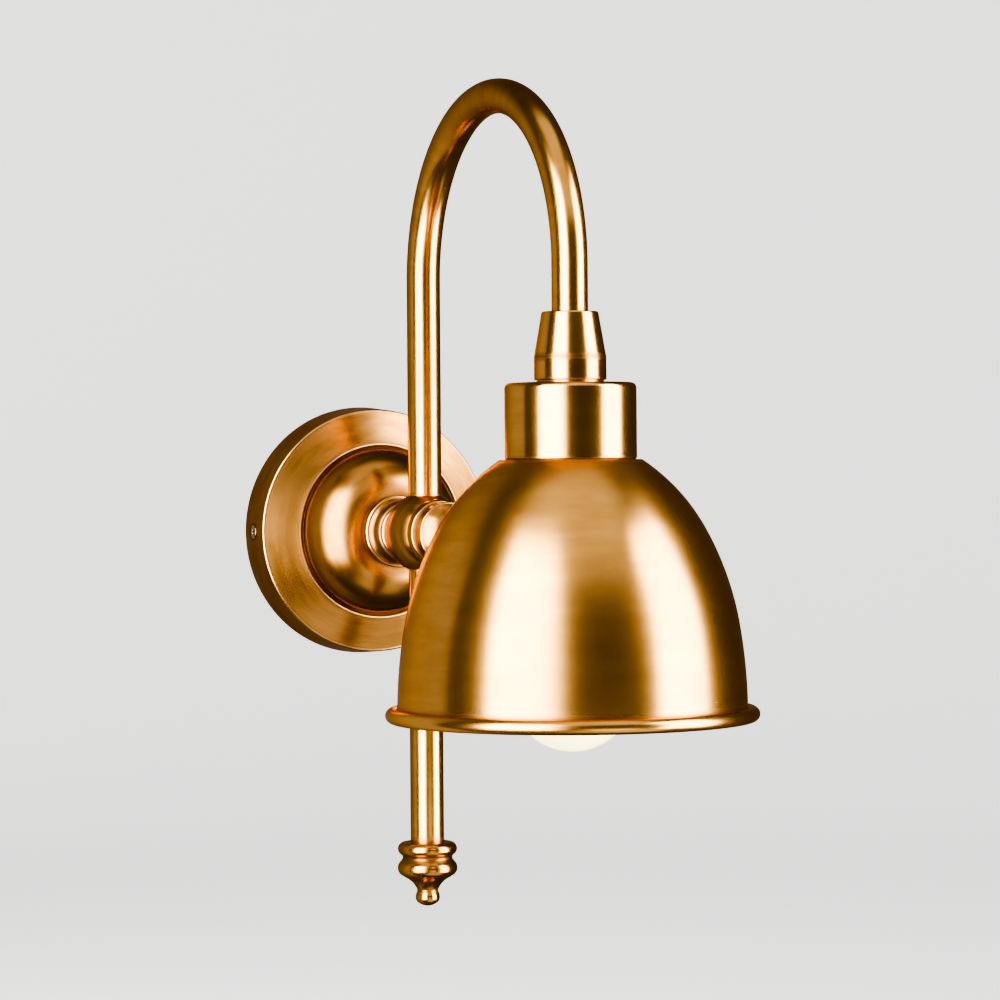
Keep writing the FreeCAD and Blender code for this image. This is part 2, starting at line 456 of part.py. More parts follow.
# ---- leads: two cores in the fixed side, two in the swivelling side, meeting in the spigot on the swivel axis
def lead(points, radii, rad):
    pts = [Vector(*p) for p in points]
    edges, last = [], pts[0]
    for i in range(1, len(pts) - 1):
        a, b, c = pts[i - 1], pts[i], pts[i + 1]
        u, v = (a - b).normalize(), (c - b).normalize()
        ang = u.getAngle(v)
        back = radii[i - 1] / math.tan(ang / 2)
        p0, p1 = b + u * back, b + v * back
        centre = b + (u + v).normalize() * (radii[i - 1] / math.sin(ang / 2))
        mid = centre + (b - centre).normalize() * radii[i - 1]
        if (p0 - last).Length > 1e-6:
            edges.append(Part.LineSegment(last, p0).toShape())
        edges.append(Part.Arc(p0, mid, p1).toShape())
        last = p1
    edges.append(Part.LineSegment(last, pts[-1]).toShape())
    path = Part.Wire(edges)
    ring = Part.Wire([Part.Circle(pts[0], pts[1] - pts[0], rad).toShape()])
    solid = path.makePipeShell([ring], True, False)
    want = math.pi * rad ** 2 * path.Length
    print("lead volume %.1f of %.1f, length %.1f, radii %s" % (solid.Volume, want, path.Length, radii))
    return solid


lr, lg = D["lead_rad"].v, D["lead_gap"].v
ly, ay = leg_y.v, stem_y.v
split = 45.0
sup = [lead([(-8, -7, 23.0), (-8, -7, 9.0), (-lg, -20.0, 0.0), (-lg, -split, 0.0)], [5.0, 9.0], lr),
       lead([(8, -7, 23.0), (8, -7, 9.0), (lg, -20.0, 0.0), (lg, -split, 0.0)], [5.0, 9.0], lr)]
f = doc.addObject("Part::Feature", "supply_leads")
f.Shape = Part.makeCompound(sup)
node("supply_leads", f)
head = []
for sg in (-1, 1):
    x = sg * lg
    topz = ah.v + ar.v
    pts = [(x, -split - 0.4, 0), (x, ay, 0), (x, ay, topz), (x, ly, topz), (x, ly, 19.2), (sg * 3.7, ly, 16.4), (sg * 3.7, ly, 12.75)]
    head.append(lead(pts, [5.0, ar.v - 0.001, ar.v - 0.001, 2.0, 2.0], lr))
f = doc.addObject("Part::Feature", "lamp_leads")
f.Shape = Part.makeCompound(head)
node("lamp_leads", f)

# ---- lamp: opal globe on a white collar, screw cap, insulator, tip and the board inside
gl, gc, gwl = D["globe_rad"], D["globe_centre"], D["globe_wall"]
open_z = gc + 14.6
ro = math.sqrt(gl.v ** 2 - 14.6 ** 2)
ri = math.sqrt((gl.v - gwl.v) ** 2 - 14.6 ** 2)
node("lamp_globe", turned("lamp_globe", "up", [
    (gc - gl, 0, gl, (-1, 1)), (gc, gl, gl, (1, 1)), (open_z, ro), (open_z, ri, gl - gwl, (1, 1)), (gc, gl - gwl, gl - gwl, (-1, 1)), (gc - gl + gwl, 0)], leg_y))
node("lamp_collar", turned("lamp_collar", "up", [
    (open_z, ro - 0.3), (open_z + 0.6, ro, 16.0, (0.3, 1)), (hm - 2.6, 14.6), (hm - 1.6, 13.6), (hm + 0.4, 13.2), (hm + 0.4, 12.0), (hm - 2.0, 12.0), (open_z + 1.8, 15.6), (open_z, 15.8)], leg_y))
sr_ = D["screw_rad"]
prof, zz, k = [(-1.4, 9.0), (-1.4, 10.0), (-2.2, 12.4)], -2.2, 0
while zz > -20.0:
    prof += [(zz - 0.9, 12.5), (zz - 1.8, sr_, 1.2, outw), (zz - 2.9, sr_)]
    zz -= 3.6
prof += [(zz - 0.4, 12.6), (hm + 0.4, 12.6), (hm + 0.4, 12.0), (-2.6, 12.0), (-2.0, 9.0)]
node("lamp_screw_cap", turned("lamp_screw_cap", "up", prof, leg_y))
node("lamp_cap_insulator", turned("lamp_cap_insulator", "up", [(-2.0, 0), (-2.0, 9.0), (-1.4, 9.0), (-0.4, 8.4), (0.9, 5.2), (0.9, 0)], leg_y))
node("lamp_tip_contact", turned("lamp_tip_contact", "up", [(0.9, 0), (0.9, 4.6), (1.4, 4.5), (1.95, 3.2), (1.95, 0)], leg_y))
node("lamp_led_board", turned("lamp_led_board", "up", [(open_z - 1.4, 0), (open_z - 1.4, 15.4), (open_z, 15.4), (open_z, 0)], leg_y))

doc.recompute()
bad = [o.Name + ":" + ",".join(o.State) for o in doc.Objects if "Invalid" in o.State or "Error" in o.State]
for name, obj in NODES.items():
    s = obj.Shape
    if s.isNull() or not s.isValid() or not s.Solids:
        bad.append(name + ": no valid solid")
if bad:
    raise RuntimeError("not written: " + "; ".join(bad))
for name, obj in NODES.items():
    b = obj.Shape.BoundBox
    print("%-26s solids %2d  vol %9.1f  x %.1f..%.1f y %.1f..%.1f z %.1f..%.1f" % (name, len(obj.Shape.Solids), obj.Shape.Volume, b.XMin, b.XMax, b.YMin, b.YMax, b.ZMin, b.ZMax))
    obj.Shape.exportStep("parts/%s.step" % name)
print(len(NODES), "nodes")
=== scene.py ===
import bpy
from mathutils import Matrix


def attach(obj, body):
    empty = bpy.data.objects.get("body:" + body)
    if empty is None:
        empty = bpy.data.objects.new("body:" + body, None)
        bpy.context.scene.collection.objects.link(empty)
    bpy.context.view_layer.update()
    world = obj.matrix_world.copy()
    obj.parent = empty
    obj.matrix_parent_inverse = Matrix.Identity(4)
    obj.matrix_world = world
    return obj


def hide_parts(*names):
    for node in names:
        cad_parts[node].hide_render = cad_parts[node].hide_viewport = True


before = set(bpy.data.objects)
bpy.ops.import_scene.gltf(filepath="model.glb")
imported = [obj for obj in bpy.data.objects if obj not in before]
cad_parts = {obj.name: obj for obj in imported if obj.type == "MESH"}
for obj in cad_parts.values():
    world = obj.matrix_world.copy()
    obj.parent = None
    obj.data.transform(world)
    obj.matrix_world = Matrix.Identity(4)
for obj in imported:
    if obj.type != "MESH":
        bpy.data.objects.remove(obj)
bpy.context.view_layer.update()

import bisect
import math

import bpy
from mathutils import Matrix, Vector

scene = bpy.context.scene
MM = 0.001

# ------------------------------------------------------------------ camera
AZ, EL, ROLL = (math.radians(a) for a in (-24.435, 0.664, -0.408))
back = Vector((math.sin(AZ) * math.cos(EL), -math.cos(AZ) * math.cos(EL), math.sin(EL)))
flat_x = Vector((0, 0, 1)).cross(back).normalized()
flat_y = back.cross(flat_x)
cam_x = math.cos(ROLL) * flat_x + math.sin(ROLL) * flat_y
cam_y = -math.sin(ROLL) * flat_x + math.cos(ROLL) * flat_y
cam_data = bpy.data.cameras.new("camera")
cam_data.sensor_fit = "HORIZONTAL"
cam_data.sensor_width = 36.0
cam_data.lens = 3.4807 * 36.0
cam = bpy.data.objects.new("camera", cam_data)
scene.collection.objects.link(cam)
cam.matrix_world = Matrix(((cam_x.x, cam_y.x, back.x, -0.53108), (cam_x.y, cam_y.y, back.y, -1.30521), (cam_x.z, cam_y.z, back.z, 0.0280), (0, 0, 0, 1)))
scene.camera = cam

# ------------------------------------------------------------------ sizes, millimetres, from the CAD source
STEM_Y, LEG_Y = -66.0, -197.0
TUBE_R, TUBE_B, ARCH_R, ARCH_H = 6.5, 5.0, 65.5, 96.7


# ------------------------------------------------------------------ node helpers
class Mat:
    """A material's node tree, written as short calls."""

    def __init__(self, name):
        self.m = bpy.data.materials.new(name)
        self.m.use_nodes = True
        self.t = self.m.node_tree
        self.t.nodes.clear()
        self.out = self.t.nodes.new("ShaderNodeOutputMaterial")
        self.bsdf = self.t.nodes.new("ShaderNodeBsdfPrincipled")
        self.t.links.new(self.bsdf.outputs[0], self.out.inputs[0])

    def put(self, socket, v):
        if isinstance(v, bpy.types.NodeSocket):
            self.t.links.new(v, socket)
        else:
            socket.default_value = v

    def node(self, kind, **kw):
        n = self.t.nodes.new(kind)
        for k, v in kw.items():
            setattr(n, k, v)
        return n

    def attr(self, name, vec=False):
        n = self.node("ShaderNodeAttribute", attribute_name=name, attribute_type="GEOMETRY")
        return n.outputs["Vector" if vec else "Fac"]

    def coords(self):
        return self.node("ShaderNodeTexCoord").outputs["Object"]

    def scaled(self, vec, s):
        n = self.node("ShaderNodeVectorMath", operation="MULTIPLY")
        self.put(n.inputs[0], vec)
        n.inputs[1].default_value = s
        return n.outputs[0]

    def noise(self, vec, scale, detail=3.0, rough=0.5, dist=0.0):
        n = self.node("ShaderNodeTexNoise")
        self.put(n.inputs["Vector"], vec)
        n.inputs["Scale"].default_value = scale
        n.inputs["Detail"].default_value = detail
        n.inputs["Roughness"].default_value = rough
        n.inputs["Distortion"].default_value = dist
        return n.outputs["Fac"]

    def voronoi(self, vec, scale, feature="F1"):
        n = self.node("ShaderNodeTexVoronoi", feature=feature)
        self.put(n.inputs["Vector"], vec)
        n.inputs["Scale"].default_value = scale
        return n.outputs["Distance"]

    def math(self, op, a, b=0.0, c=None, clamp=False):
        n = self.node("ShaderNodeMath", operation=op, use_clamp=clamp)
        self.put(n.inputs[0], a)
        self.put(n.inputs[1], b)
        if c is not None:
            self.put(n.inputs[2], c)
        return n.outputs[0]

    def span(self, v, a, b, lo=0.0, hi=1.0, smooth=True):
        n = self.node("ShaderNodeMapRange", interpolation_type="SMOOTHSTEP" if smooth else "LINEAR")
        self.put(n.inputs["Value"], v)
        for k, x in (("From Min", a), ("From Max", b), ("To Min", lo), ("To Max", hi)):
            n.inputs[k].default_value = x
        return n.outputs["Result"]

    def mix(self, fac, a, b, blend="MIX"):
        n = self.node("ShaderNodeMix", data_type="RGBA", blend_type=blend)
        self.put(n.inputs[0], fac)
        for i, v in ((6, a), (7, b)):
            self.put(n.inputs[i], (*v, 1.0) if isinstance(v, tuple) else v)
        return n.outputs[2]

    def bump(self, height, strength, distance, normal=None):
        n = self.node("ShaderNodeBump")
        n.inputs["Strength"].default_value = strength
        n.inputs["Distance"].default_value = distance
        self.put(n.inputs["Height"], height)
        if normal is not None:
            self.put(n.inputs["Normal"], normal)
        return n.outputs[0]

    def set(self, **kw):
        for k, v in kw.items():
            name = k.replace("_", " ")
            s = self.bsdf.inputs[name]
            self.put(s, (*v, 1.0) if isinstance(v, tuple) and len(v) == 3 else v)
        return self.m


def brass(name, gold, brown, cloud=0.5, rough=0.27, aniso=0.45, grain=0.10, along=0.02, across=2.2, coat=0.12, patina_shade_gain=0.9, pale=(0.86, 0.62, 0.33), worn_gain=1.0, streak=0.4, wander=0.10, screw_shade_spots=()):
    """Satin antique brass: two tones in soft clouds, fine brushed lines, dark red-brown patina with painted shade in
    the hollows and seams, pale worn edges.
    """
    k = Mat(name)
    co, gr = k.coords(), k.attr("grain", True)
    patina_and_shade, worn = k.attr("patina_and_shade"), k.attr("worn")
    clouds = k.noise(k.scaled(co, (1.0, 1.0, 1.0)), 26.0, 4.0, 0.55, 0.3)
    smears = k.noise(k.scaled(gr, (0.035, 0.035, 0.16)), 1.0, 4.0, 0.6)
    lines = k.noise(k.scaled(gr, (along, along, across)), 1.0, 3.0, 0.62)
    fine = k.noise(k.scaled(gr, (along * 2.2, along * 2.2, across * 3.1)), 1.0, 2.0, 0.6)
    speck = k.noise(co, 900.0, 3.0, 0.6)
    tone = k.math("ADD", k.math("MULTIPLY", clouds, 0.5), k.math("MULTIPLY", smears, 0.5))
    tone = k.span(tone, 0.36, 0.64)
    tone = k.math("MULTIPLY", tone, cloud)
    lined = k.math("ADD", tone, k.math("MULTIPLY", k.math("SUBTRACT", lines, 0.5), streak), clamp=True)
    colour = k.mix(lined, gold, brown)
    # painted shade: hollows and seams darken towards near-black, partly patina and partly the shade that falls there
    dark_patina_shade = k.math("MULTIPLY", patina_and_shade, k.span(k.math("ADD", k.math("MULTIPLY", smears, 0.6), k.math("MULTIPLY", speck, 0.4)), 0.25, 0.62, 0.62, 1.0), clamp=True)
    dark_patina_shade = k.math("MULTIPLY", dark_patina_shade, patina_shade_gain)
    # painted shade: a dark disc round each side screw on the plate, where its recess lies in shade
    for x, y, z, r0, r1 in screw_shade_spots:
        away = k.node("ShaderNodeVectorMath", operation="DISTANCE")
        k.put(away.inputs[0], co)
        away.inputs[1].default_value = (x, y, z)
        dark_patina_shade = k.math("MAXIMUM", dark_patina_shade, k.span(away.outputs["Value"], r0, r1, 1.0, 0.0))
    # the near-black colour of the patina and painted shade
    colour = k.mix(dark_patina_shade, colour, (0.060, 0.020, 0.006))
    rub = k.math("MULTIPLY", worn, k.math("MULTIPLY", k.span(k.noise(co, 160.0, 3.0, 0.6), 0.3, 0.6, 0.55, 1.0), worn_gain), clamp=True)
    colour = k.mix(rub, colour, pale)
    r = k.math("ADD", k.math("MULTIPLY", lines, wander), rough - 0.5 * wander)
    r = k.math("ADD", r, k.math("MULTIPLY", k.math("SUBTRACT", clouds, 0.5), 0.10))
    r = k.math("ADD", r, k.math("MULTIPLY", dark_patina_shade, 0.22))
    r = k.math("SUBTRACT", r, k.math("MULTIPLY", rub, 0.06), clamp=True)
    h = k.math("ADD", k.math("MULTIPLY", lines, 0.7), k.math("MULTIPLY", fine, 0.3))
    nrm = k.bump(h, grain, 0.00006)
    tan = k.node("ShaderNodeTangent", direction_type="UV_MAP", uv_map="UVMap")
    k.set(Base_Color=colour, Metallic=1.0, Roughness=r, Normal=nrm, Anisotropic=aniso, Anisotropic_Rotation=0.25, Tangent=tan.outputs[0], Coat_Weight=coat, Coat_Roughness=0.16, Coat_IOR=1.5, Specular_Tint=(0.90, 0.62, 0.34))
    return k.m


GOLD, BROWN = (0.680, 0.362, 0.108), (0.470, 0.222, 0.050)
ROSE, UMBER = (0.475, 0.242, 0.073), (0.265, 0.112, 0.026)
M_SHADE = brass("brass_shade", GOLD, BROWN, cloud=0.50, rough=0.245, aniso=0.55, grain=0.03, streak=0.16, wander=0.03)
M_PLATE = brass("brass_plate", ROSE, UMBER, cloud=0.85, rough=0.245, aniso=0.15, grain=0.04, across=1.3, streak=0.3, wander=0.05, screw_shade_spots=((-0.0496, -0.0074, 0.0, 0.0028, 0.0041), (0.0496, -0.0074, 0.0, 0.0028, 0.0041)))
M_KNUCKLE = brass("brass_knuckle", ROSE, UMBER, cloud=0.80, rough=0.23, aniso=0.15, grain=0.08, across=3.0)
M_TUBE = brass("brass_tube", GOLD, BROWN, cloud=0.55, rough=0.215, aniso=0.0, grain=0.05, along=0.9, across=0.03)
M_CAPS = brass("brass_gallery", GOLD, BROWN, cloud=0.50, rough=0.205, aniso=0.4, grain=0.06, across=2.4)
M_FINIAL = brass("brass_finial", GOLD, UMBER, cloud=0.60, rough=0.21, aniso=0.15, grain=0.07, across=3.0)


def plain_metal(name, light, dark, rough, scale=60.0, metallic=1.0, streak=(1.0, 1.0, 6.0), bump=0.08, coat=0.0):
    k = Mat(name)
    co = k.coords()
    a = k.noise(k.scaled(co, streak), scale, 4.0, 0.6)
    b = k.noise(co, scale * 22.0, 2.0, 0.6)
    t = k.span(k.math("ADD", k.math("MULTIPLY", a, 0.75), k.math("MULTIPLY", b, 0.25)), 0.36, 0.66)
    colour = k.mix(t, light, dark)
    r = k.math("ADD", k.math("MULTIPLY", b, 0.16), rough - 0.08)
    k.set(Base_Color=colour, Metallic=metallic, Roughness=r, Normal=k.bump(b, bump, 0.0001), Coat_Weight=coat, Coat_Roughness=0.2)
    return k.m


def moulded(name, light, dark, rough=0.42, scale=700.0, bump=0.12, coat=0.0, sub=0.0):
    k = Mat(name)
    co = k.coords()
    a, b = k.noise(co, 40.0, 3.0, 0.5), k.noise(co, scale, 3.0, 0.6)
    colour = k.mix(k.span(a, 0.35, 0.65), light, dark)
    r = k.math("ADD", k.math("MULTIPLY", b, 0.14), rough - 0.07)
    k.set(Base_Color=colour, Metallic=0.0, Roughness=r, Normal=k.bump(b, bump, 0.00012), Coat_Weight=coat, Coat_Roughness=0.2, Subsurface_Weight=sub)
    if sub:
        k.bsdf.inputs["Subsurface Scale"].default_value = 0.002
    return k.m


M_RAW = plain_metal("raw_brass", (0.78, 0.55, 0.24), (0.52, 0.33, 0.12), 0.34)
M_ZINC = plain_metal("zinc_steel", (0.63, 0.64, 0.66), (0.40, 0.42, 0.45), 0.40, 45.0)
M_SCREW = plain_metal("screw_steel", (0.80, 0.78, 0.74), (0.46, 0.42, 0.37), 0.26, 160.0)
M_SIDE = plain_metal("side_screw_brass", (0.66, 0.52, 0.30), (0.20, 0.12, 0.05), 0.22, 420.0, bump=0.05)
M_SPRING = plain_metal("spring_steel", (0.48, 0.48, 0.50), (0.30, 0.30, 0.32), 0.30, 80.0)
M_NICKEL = plain_metal("lamp_nickel", (0.78, 0.75, 0.70), (0.55, 0.52, 0.47), 0.30, 90.0)
M_SOLDER = plain_metal("solder", (0.70, 0.70, 0.69), (0.45, 0.45, 0.45), 0.42, 300.0, bump=0.3)
M_FIBRE = moulded("fibre", (0.30, 0.10, 0.05), (0.21, 0.07, 0.035), 0.62, 900.0)
M_BLOCK = moulded("block_nylon", (0.80, 0.79, 0.74), (0.72, 0.70, 0.64), 0.38, 500.0, sub=0.1)
M_HOLDER = moulded("holder_black", (0.020, 0.019, 0.018), (0.034, 0.032, 0.030), 0.40, 700.0)
M_CERAMIC = moulded("ceramic", (0.82, 0.79, 0.72), (0.74, 0.70, 0.62), 0.30, 350.0, coat=0.3)
M_LEAD = moulded("lead_sleeve", (0.70, 0.69, 0.66), (0.60, 0.59, 0.56), 0.45, 600.0)
M_SUPPLY = moulded("supply_sleeve", (0.66, 0.62, 0.55), (0.56, 0.52, 0.45), 0.50, 600.0)
M_COLLAR = moulded("lamp_white", (0.86, 0.85, 0.82), (0.80, 0.79, 0.75), 0.34, 500.0, sub=0.1)
M_VITRITE = moulded("vitrite", (0.028, 0.022, 0.030), (0.045, 0.036, 0.045), 0.24, 300.0)
M_BOARD = moulded("board", (0.80, 0.80, 0.77), (0.72, 0.73, 0.70), 0.40, 400.0)


def opal():
    k = Mat("opal_glow")
    co = k.coords()
    a, b = k.noise(co, 55.0, 3.0, 0.5), k.noise(co, 1400.0, 2.0, 0.5)
    colour = k.mix(k.span(a, 0.3, 0.7), (0.82, 0.79, 0.56), (0.78, 0.74, 0.50))
    glow = k.mix(k.span(a, 0.3, 0.7), (1.0, 0.90, 0.30), (1.0, 0.86, 0.25))
    r = k.math("ADD", k.math("MULTIPLY", b, 0.08), 0.30)
    k.set(Base_Color=colour, Metallic=0.0, Roughness=r, Emission_Color=glow, Emission_Strength=1.7, Normal=k.bump(b, 0.05, 0.00005))
    return k.m


M_OPAL = opal()


# ------------------------------------------------------------------ turned pieces
def sample(pts, step=math.radians(4.0)):
    """pts as the CAD profile has them, (along, radius[, arc radius, (bulge along, bulge outwards)]) in mm, to a closed polyline. Returns points and which of them are profile corners."""
    out, corner = [], []
    n = len(pts)
    for i in range(n):
        p, nx = pts[i], pts[(i + 1) % n]
        a, b = Vector((p[0], p[1])), Vector((nx[0], nx[1]))
        out.append(a)
        corner.append(True)
        if len(p) == 2 or (a - b).length < 1e-9:
            continue
        rad, bulge = p[2], Vector(p[3])
        ch = b - a
        nrm = Vector((-ch.y, ch.x)).normalized()
        if nrm.dot(bulge) < 0:
            nrm = -nrm
        half = ch.length / 2
        c = (a + b) / 2 - nrm * math.sqrt(max(rad * rad - half * half, 0.0))
        t0, t1 = math.atan2(a.y - c.y, a.x - c.x), math.atan2(b.y - c.y, b.x - c.x)
        d = (t1 - t0 + math.pi) % (2 * math.pi) - math.pi
        m = max(2, math.ceil(abs(d) / step), math.ceil(abs(d) * rad / 1.6))
        for j in range(1, m):
            t = t0 + d * j / m
            out.append(Vector((c.x + rad * math.cos(t), c.y + rad * math.sin(t))))
            corner.append(False)
    return out, corner


def soften(out, corner, size=0.22):
    """Rounds every corner of the closed polyline by at most size, and adds points near it."""
    n = len(out)
    seg = [(out[(i + 1) % n] - out[i]).length for i in range(n)]
    cum = [0.0]
    for s in seg:
        cum.append(cum[-1] + s)
    total = cum[-1]

    def at(s):
        s %= total
        i = min(max(bisect.bisect_right(cum, s) - 1, 0), n - 1)
        f = 0.0 if seg[i] < 1e-12 else (s - cum[i]) / seg[i]
        return out[i].lerp(out[(i + 1) % n], f)

    sharp = []
    for i in range(n):
        if not corner[i] or out[i].y < 1e-6:
            continue
        u, v = out[i] - out[i - 1], out[(i + 1) % n] - out[i]
        if u.length < 1e-9 or v.length < 1e-9:
            continue
        turn = math.atan2(u.x * v.y - u.y * v.x, u.dot(v))
        if abs(turn) > math.radians(11):
            sharp.append((cum[i], i, turn))
    marks = sorted([s for s, _, _ in sharp] + [cum[i] for i in range(n) if corner[i] and out[i].y < 1e-6])
    cuts = []
    for s, i, turn in sharp:
        gap = total
        for m in marks:
            if abs(m - s) > 1e-9:
                d = abs(m - s)
                gap = min(gap, d, total - d)
        cuts.append((s, i, min(size, 0.42 * gap)))
    keep = []
    for i in range(n):
        s = cum[i]
        if any(j == i for _, j, _ in cuts):
            continue
        if any(min(abs(s - c), total - abs(s - c)) < d - 1e-9 for c, _, d in cuts):
            continue
        keep.append((s, out[i]))
    for s, i, d in cuts:
        p0, p1, p2 = at(s - d), out[i], at(s + d)
        for j in range(7):
            t = j / 6
            keep.append(((s - d + 2 * d * t) % total, p0 * (1 - t) ** 2 + p1 * 2 * t * (1 - t) + p2 * t * t))
        for extra in (0.25, 0.6, 1.1, 1.8):
            for sg in (-1, 1):
                e = (s + sg * (d + extra)) % total
                if all(min(abs(e - m), total - abs(e - m)) > d + 0.12 for m in marks):
                    keep.append((e, at(e)))
    keep.sort(key=lambda x: x[0])
    res = [keep[0]]
    for k in keep[1:]:
        if (k[1] - res[-1][1]).length > 0.012:
            res.append(k)
    if (res[0][1] - res[-1][1]).length < 0.012:
        res.pop()
    # long runs are divided
    fin = []
    for i, (s, p) in enumerate(res):
        nx = res[(i + 1) % len(res)][1]
        fin.append(p)
        m = math.ceil((nx - p).length / 2.2)
        if not (p.y < 1e-6 and nx.y < 1e-6):
            for j in range(1, m):
                fin.append(p.lerp(nx, j / m))
    return fin


def blur(vals, pos, total, sigma):
    res = []
    n = len(vals)
    for i in range(n):
        acc = wsum = 0.0
        for j in range(n):
            d = abs(pos[i] - pos[j])
            d = min(d, total - d)
            if d < 3 * sigma:
                w = math.exp(-0.5 * (d / sigma) ** 2)
                acc += w * vals[j][0]
                wsum += w * vals[j][1]
        res.append(acc / wsum if wsum > 0 else 0.0)
    return res


PIECES = {}


def finish_mesh(name, verts, faces, smooth=True):
    me = bpy.data.meshes.new(name)
    me.from_pydata(verts, [], faces)
    me.update()
    for p in me.polygons:
        p.use_smooth = smooth
    return me


def lathe(name, node, axis, pts, mat, y=0.0, z=0.0, x=0.0, seg=160, edge=0.22, body=None, slot="antique_brass", step=4.0, seam_shade=None):
    """A turned piece as one closed mesh, with brushed-grain coordinates, worn edges, and patina with painted shade in
    the hollows kept as attributes.
    """
    raw, corner = sample(pts, math.radians(step))
    prof = soften(raw, corner, edge)
    n = len(prof)
    area = sum(prof[i].x * prof[(i + 1) % n].y - prof[(i + 1) % n].x * prof[i].y for i in range(n))
    if area > 0:
        prof.reverse()  # clockwise in (along, radius)
    lens = [(prof[(i + 1) % n] - prof[i]).length for i in range(n)]
    pos = [0.0]
    for s in lens[:-1]:
        pos.append(pos[-1] + s)
    total = pos[-1] + lens[-1]
    convex, hollow = [], []
    for i in range(n):
        u, v = prof[i] - prof[i - 1], prof[(i + 1) % n] - prof[i]
        turn = math.atan2(u.x * v.y - u.y * v.x, u.dot(v)) if u.length > 1e-9 and v.length > 1e-9 else 0.0
        w = 0.5 * (lens[i] + lens[i - 1])
        if prof[i].y < 1e-6:
            turn = 0.0
        convex.append((max(-turn, 0.0), w))
        hollow.append((max(turn, 0.0), w))
    sharp = blur(convex, pos, total, 0.16)  # turning per mm
    deep = blur(hollow, pos, total, 0.9)
    worn = [min(1.0, max(0.0, (c - 0.35) / 1.6)) for c in sharp]
    # painted shade: concave profile corners get the darkening mask, partly patina and partly shade
    patina_and_shade = [min(1.0, max(0.0, (c - 0.05) / 0.55)) for c in deep]

    verts, faces, uvs, vw, vg, vgr = [], [], [], [], [], []
    rings = []
    for i, p in enumerate(prof):
        pole = p.y < 1e-6
        ring = []
        for j in range(1 if pole else seg):
            a = 2 * math.pi * j / seg
            c, s = math.cos(a), math.sin(a)
            if axis == "out":
                v = (x + p.y * c, y - p.x, z + p.y * s)
            else:
                v = (x + p.y * c, y + p.y * s, z + p.x)
            ring.append(len(verts))
            verts.append(tuple(q * MM for q in v))
            vw.append(worn[i])
            # the hollows' mask and the darkening beside other pieces are painted shade with patina
            vg.append(max(patina_and_shade[i], seam_shade(*v)) if seam_shade else patina_and_shade[i])
            vgr.append((p.y * c, p.y * s, pos[i]))
        rings.append(ring)
    loops_uv = []
    for i in range(n):
        a, b = rings[i], rings[(i + 1) % n]
        if len(a) == 1 and len(b) == 1:
            continue
        sa, sb = pos[i], pos[i] + lens[i]
        for j in range(seg):
            j2 = (j + 1) % seg
            u0, u1 = j / seg, (j + 1) / seg
            if len(a) == 1:
                f, uv = (a[0], b[j], b[j2]), ((u0, sa), (u0, sb), (u1, sb))
            elif len(b) == 1:
                f, uv = (a[j], b[0], a[j2]), ((u0, sa), (u0, sb), (u1, sa))
            else:
                f, uv = (a[j], b[j], b[j2], a[j2]), ((u0, sa), (u0, sb), (u1, sb), (u1, sa))
            if axis == "up":
                f, uv = tuple(reversed(f)), tuple(reversed(uv))
            faces.append(f)
            loops_uv.extend(uv)
    me = finish_mesh(name, verts, faces)
    uvl = me.uv_layers.new(name="UVMap")
    rmax = max(p.y for p in prof)
    uvl.data.foreach_set("uv", [q for u, v in loops_uv for q in (u * 2 * math.pi * rmax * 0.01, v * 0.01)])
    return register(name, me, node, mat, vw, vg, vgr, body, slot, dict(n=n, seg=seg, rings=rings))


def register(name, me, node, mat, vw, vg, vgr, body, slot, info):
    for nm, vals in (("worn", vw), ("patina_and_shade", vg)):
        at = me.attributes.new(nm, "FLOAT", "POINT")
        at.data.foreach_set("value", vals)
    at = me.attributes.new("grain", "FLOAT_VECTOR", "POINT")
    at.data.foreach_set("vector", [q for v in vgr for q in v])
    me.materials.append(mat)
    ob = bpy.data.objects.new(name, me)
    scene.collection.objects.link(ob)
    PIECES[name] = (ob, info)
    BODY[name] = (body, node, slot)
    return ob


BODY = {}


def near(gap, reach):
    """1 where two pieces touch, falling to 0 at reach millimetres."""
    return max(0.0, 1.0 - max(gap, 0.0) / reach) ** 1.6


def ring_seam_shade(axis, *rings):
    """Patina and painted shade in the hollows beside other pieces: rings as (along, radius, reach, amount)."""
    def seam_shade(x, y, z):
        if axis == "out":
            along, rad = -y, math.hypot(x, z)
        else:
            along, rad = z, math.hypot(x, y - axis)
        return max(k * near(math.hypot(along - a, rad - r), reach) for a, r, reach, k in rings)
    return seam_shade


# painted shade with patina where the tube and the collar's rings meet the ball
def ball_seam_shade(x, y, z):
    tube = near(abs(math.hypot(x, y - STEM_Y) - TUBE_R), 1.9) if abs(z) > 9 else 0.0
    rings = ring_seam_shade("out", (66.0 - 13.1, 8.6, 2.6, 1.0), (66.0 + 11.2, 11.2, 1.8, 1.0))(x, y, z)
    return max(tube, rings)


# wall plate, with painted shade and patina at its crease and round the collar's seat
PR, PF, RIM, CONE, CREASE, T, TOP = 49.6, 48.5, 15.4, 21.6, 34.5, 1.2, 37.8
RO, RR, RS, RE = 20.9, 33.1, 20.2, 14.9
C0 = RIM + 1.0
lathe("backplate_spun", "backplate", "out", [
    (0, PR), (RIM, PF, 1.0, (1, 1)), (C0, PF - 0.95), (CONE, CREASE), (CONE - 0.4, CREASE - 0.6),
    (RO, RR, RS, (1, 1)), (TOP, RE), (TOP, 5.6), (TOP - T, 5.6),
    (TOP - T, RE - 0.04, RS - T, (1, 1)), (RO, RR - 1.216),
    (CONE - 2.0, CREASE - 1.9), (RIM - 0.2, PF - 1.8), (0, PR - 1.4)], M_PLATE, seg=256, body="wall_mount", step=3.0, seam_shade=ring_seam_shade("out", (21.4, 34.3, 2.6, 1.0), (37.8, 14.2, 5.5, 1.0), (16.4, 47.5, 0.6, 0.4)))
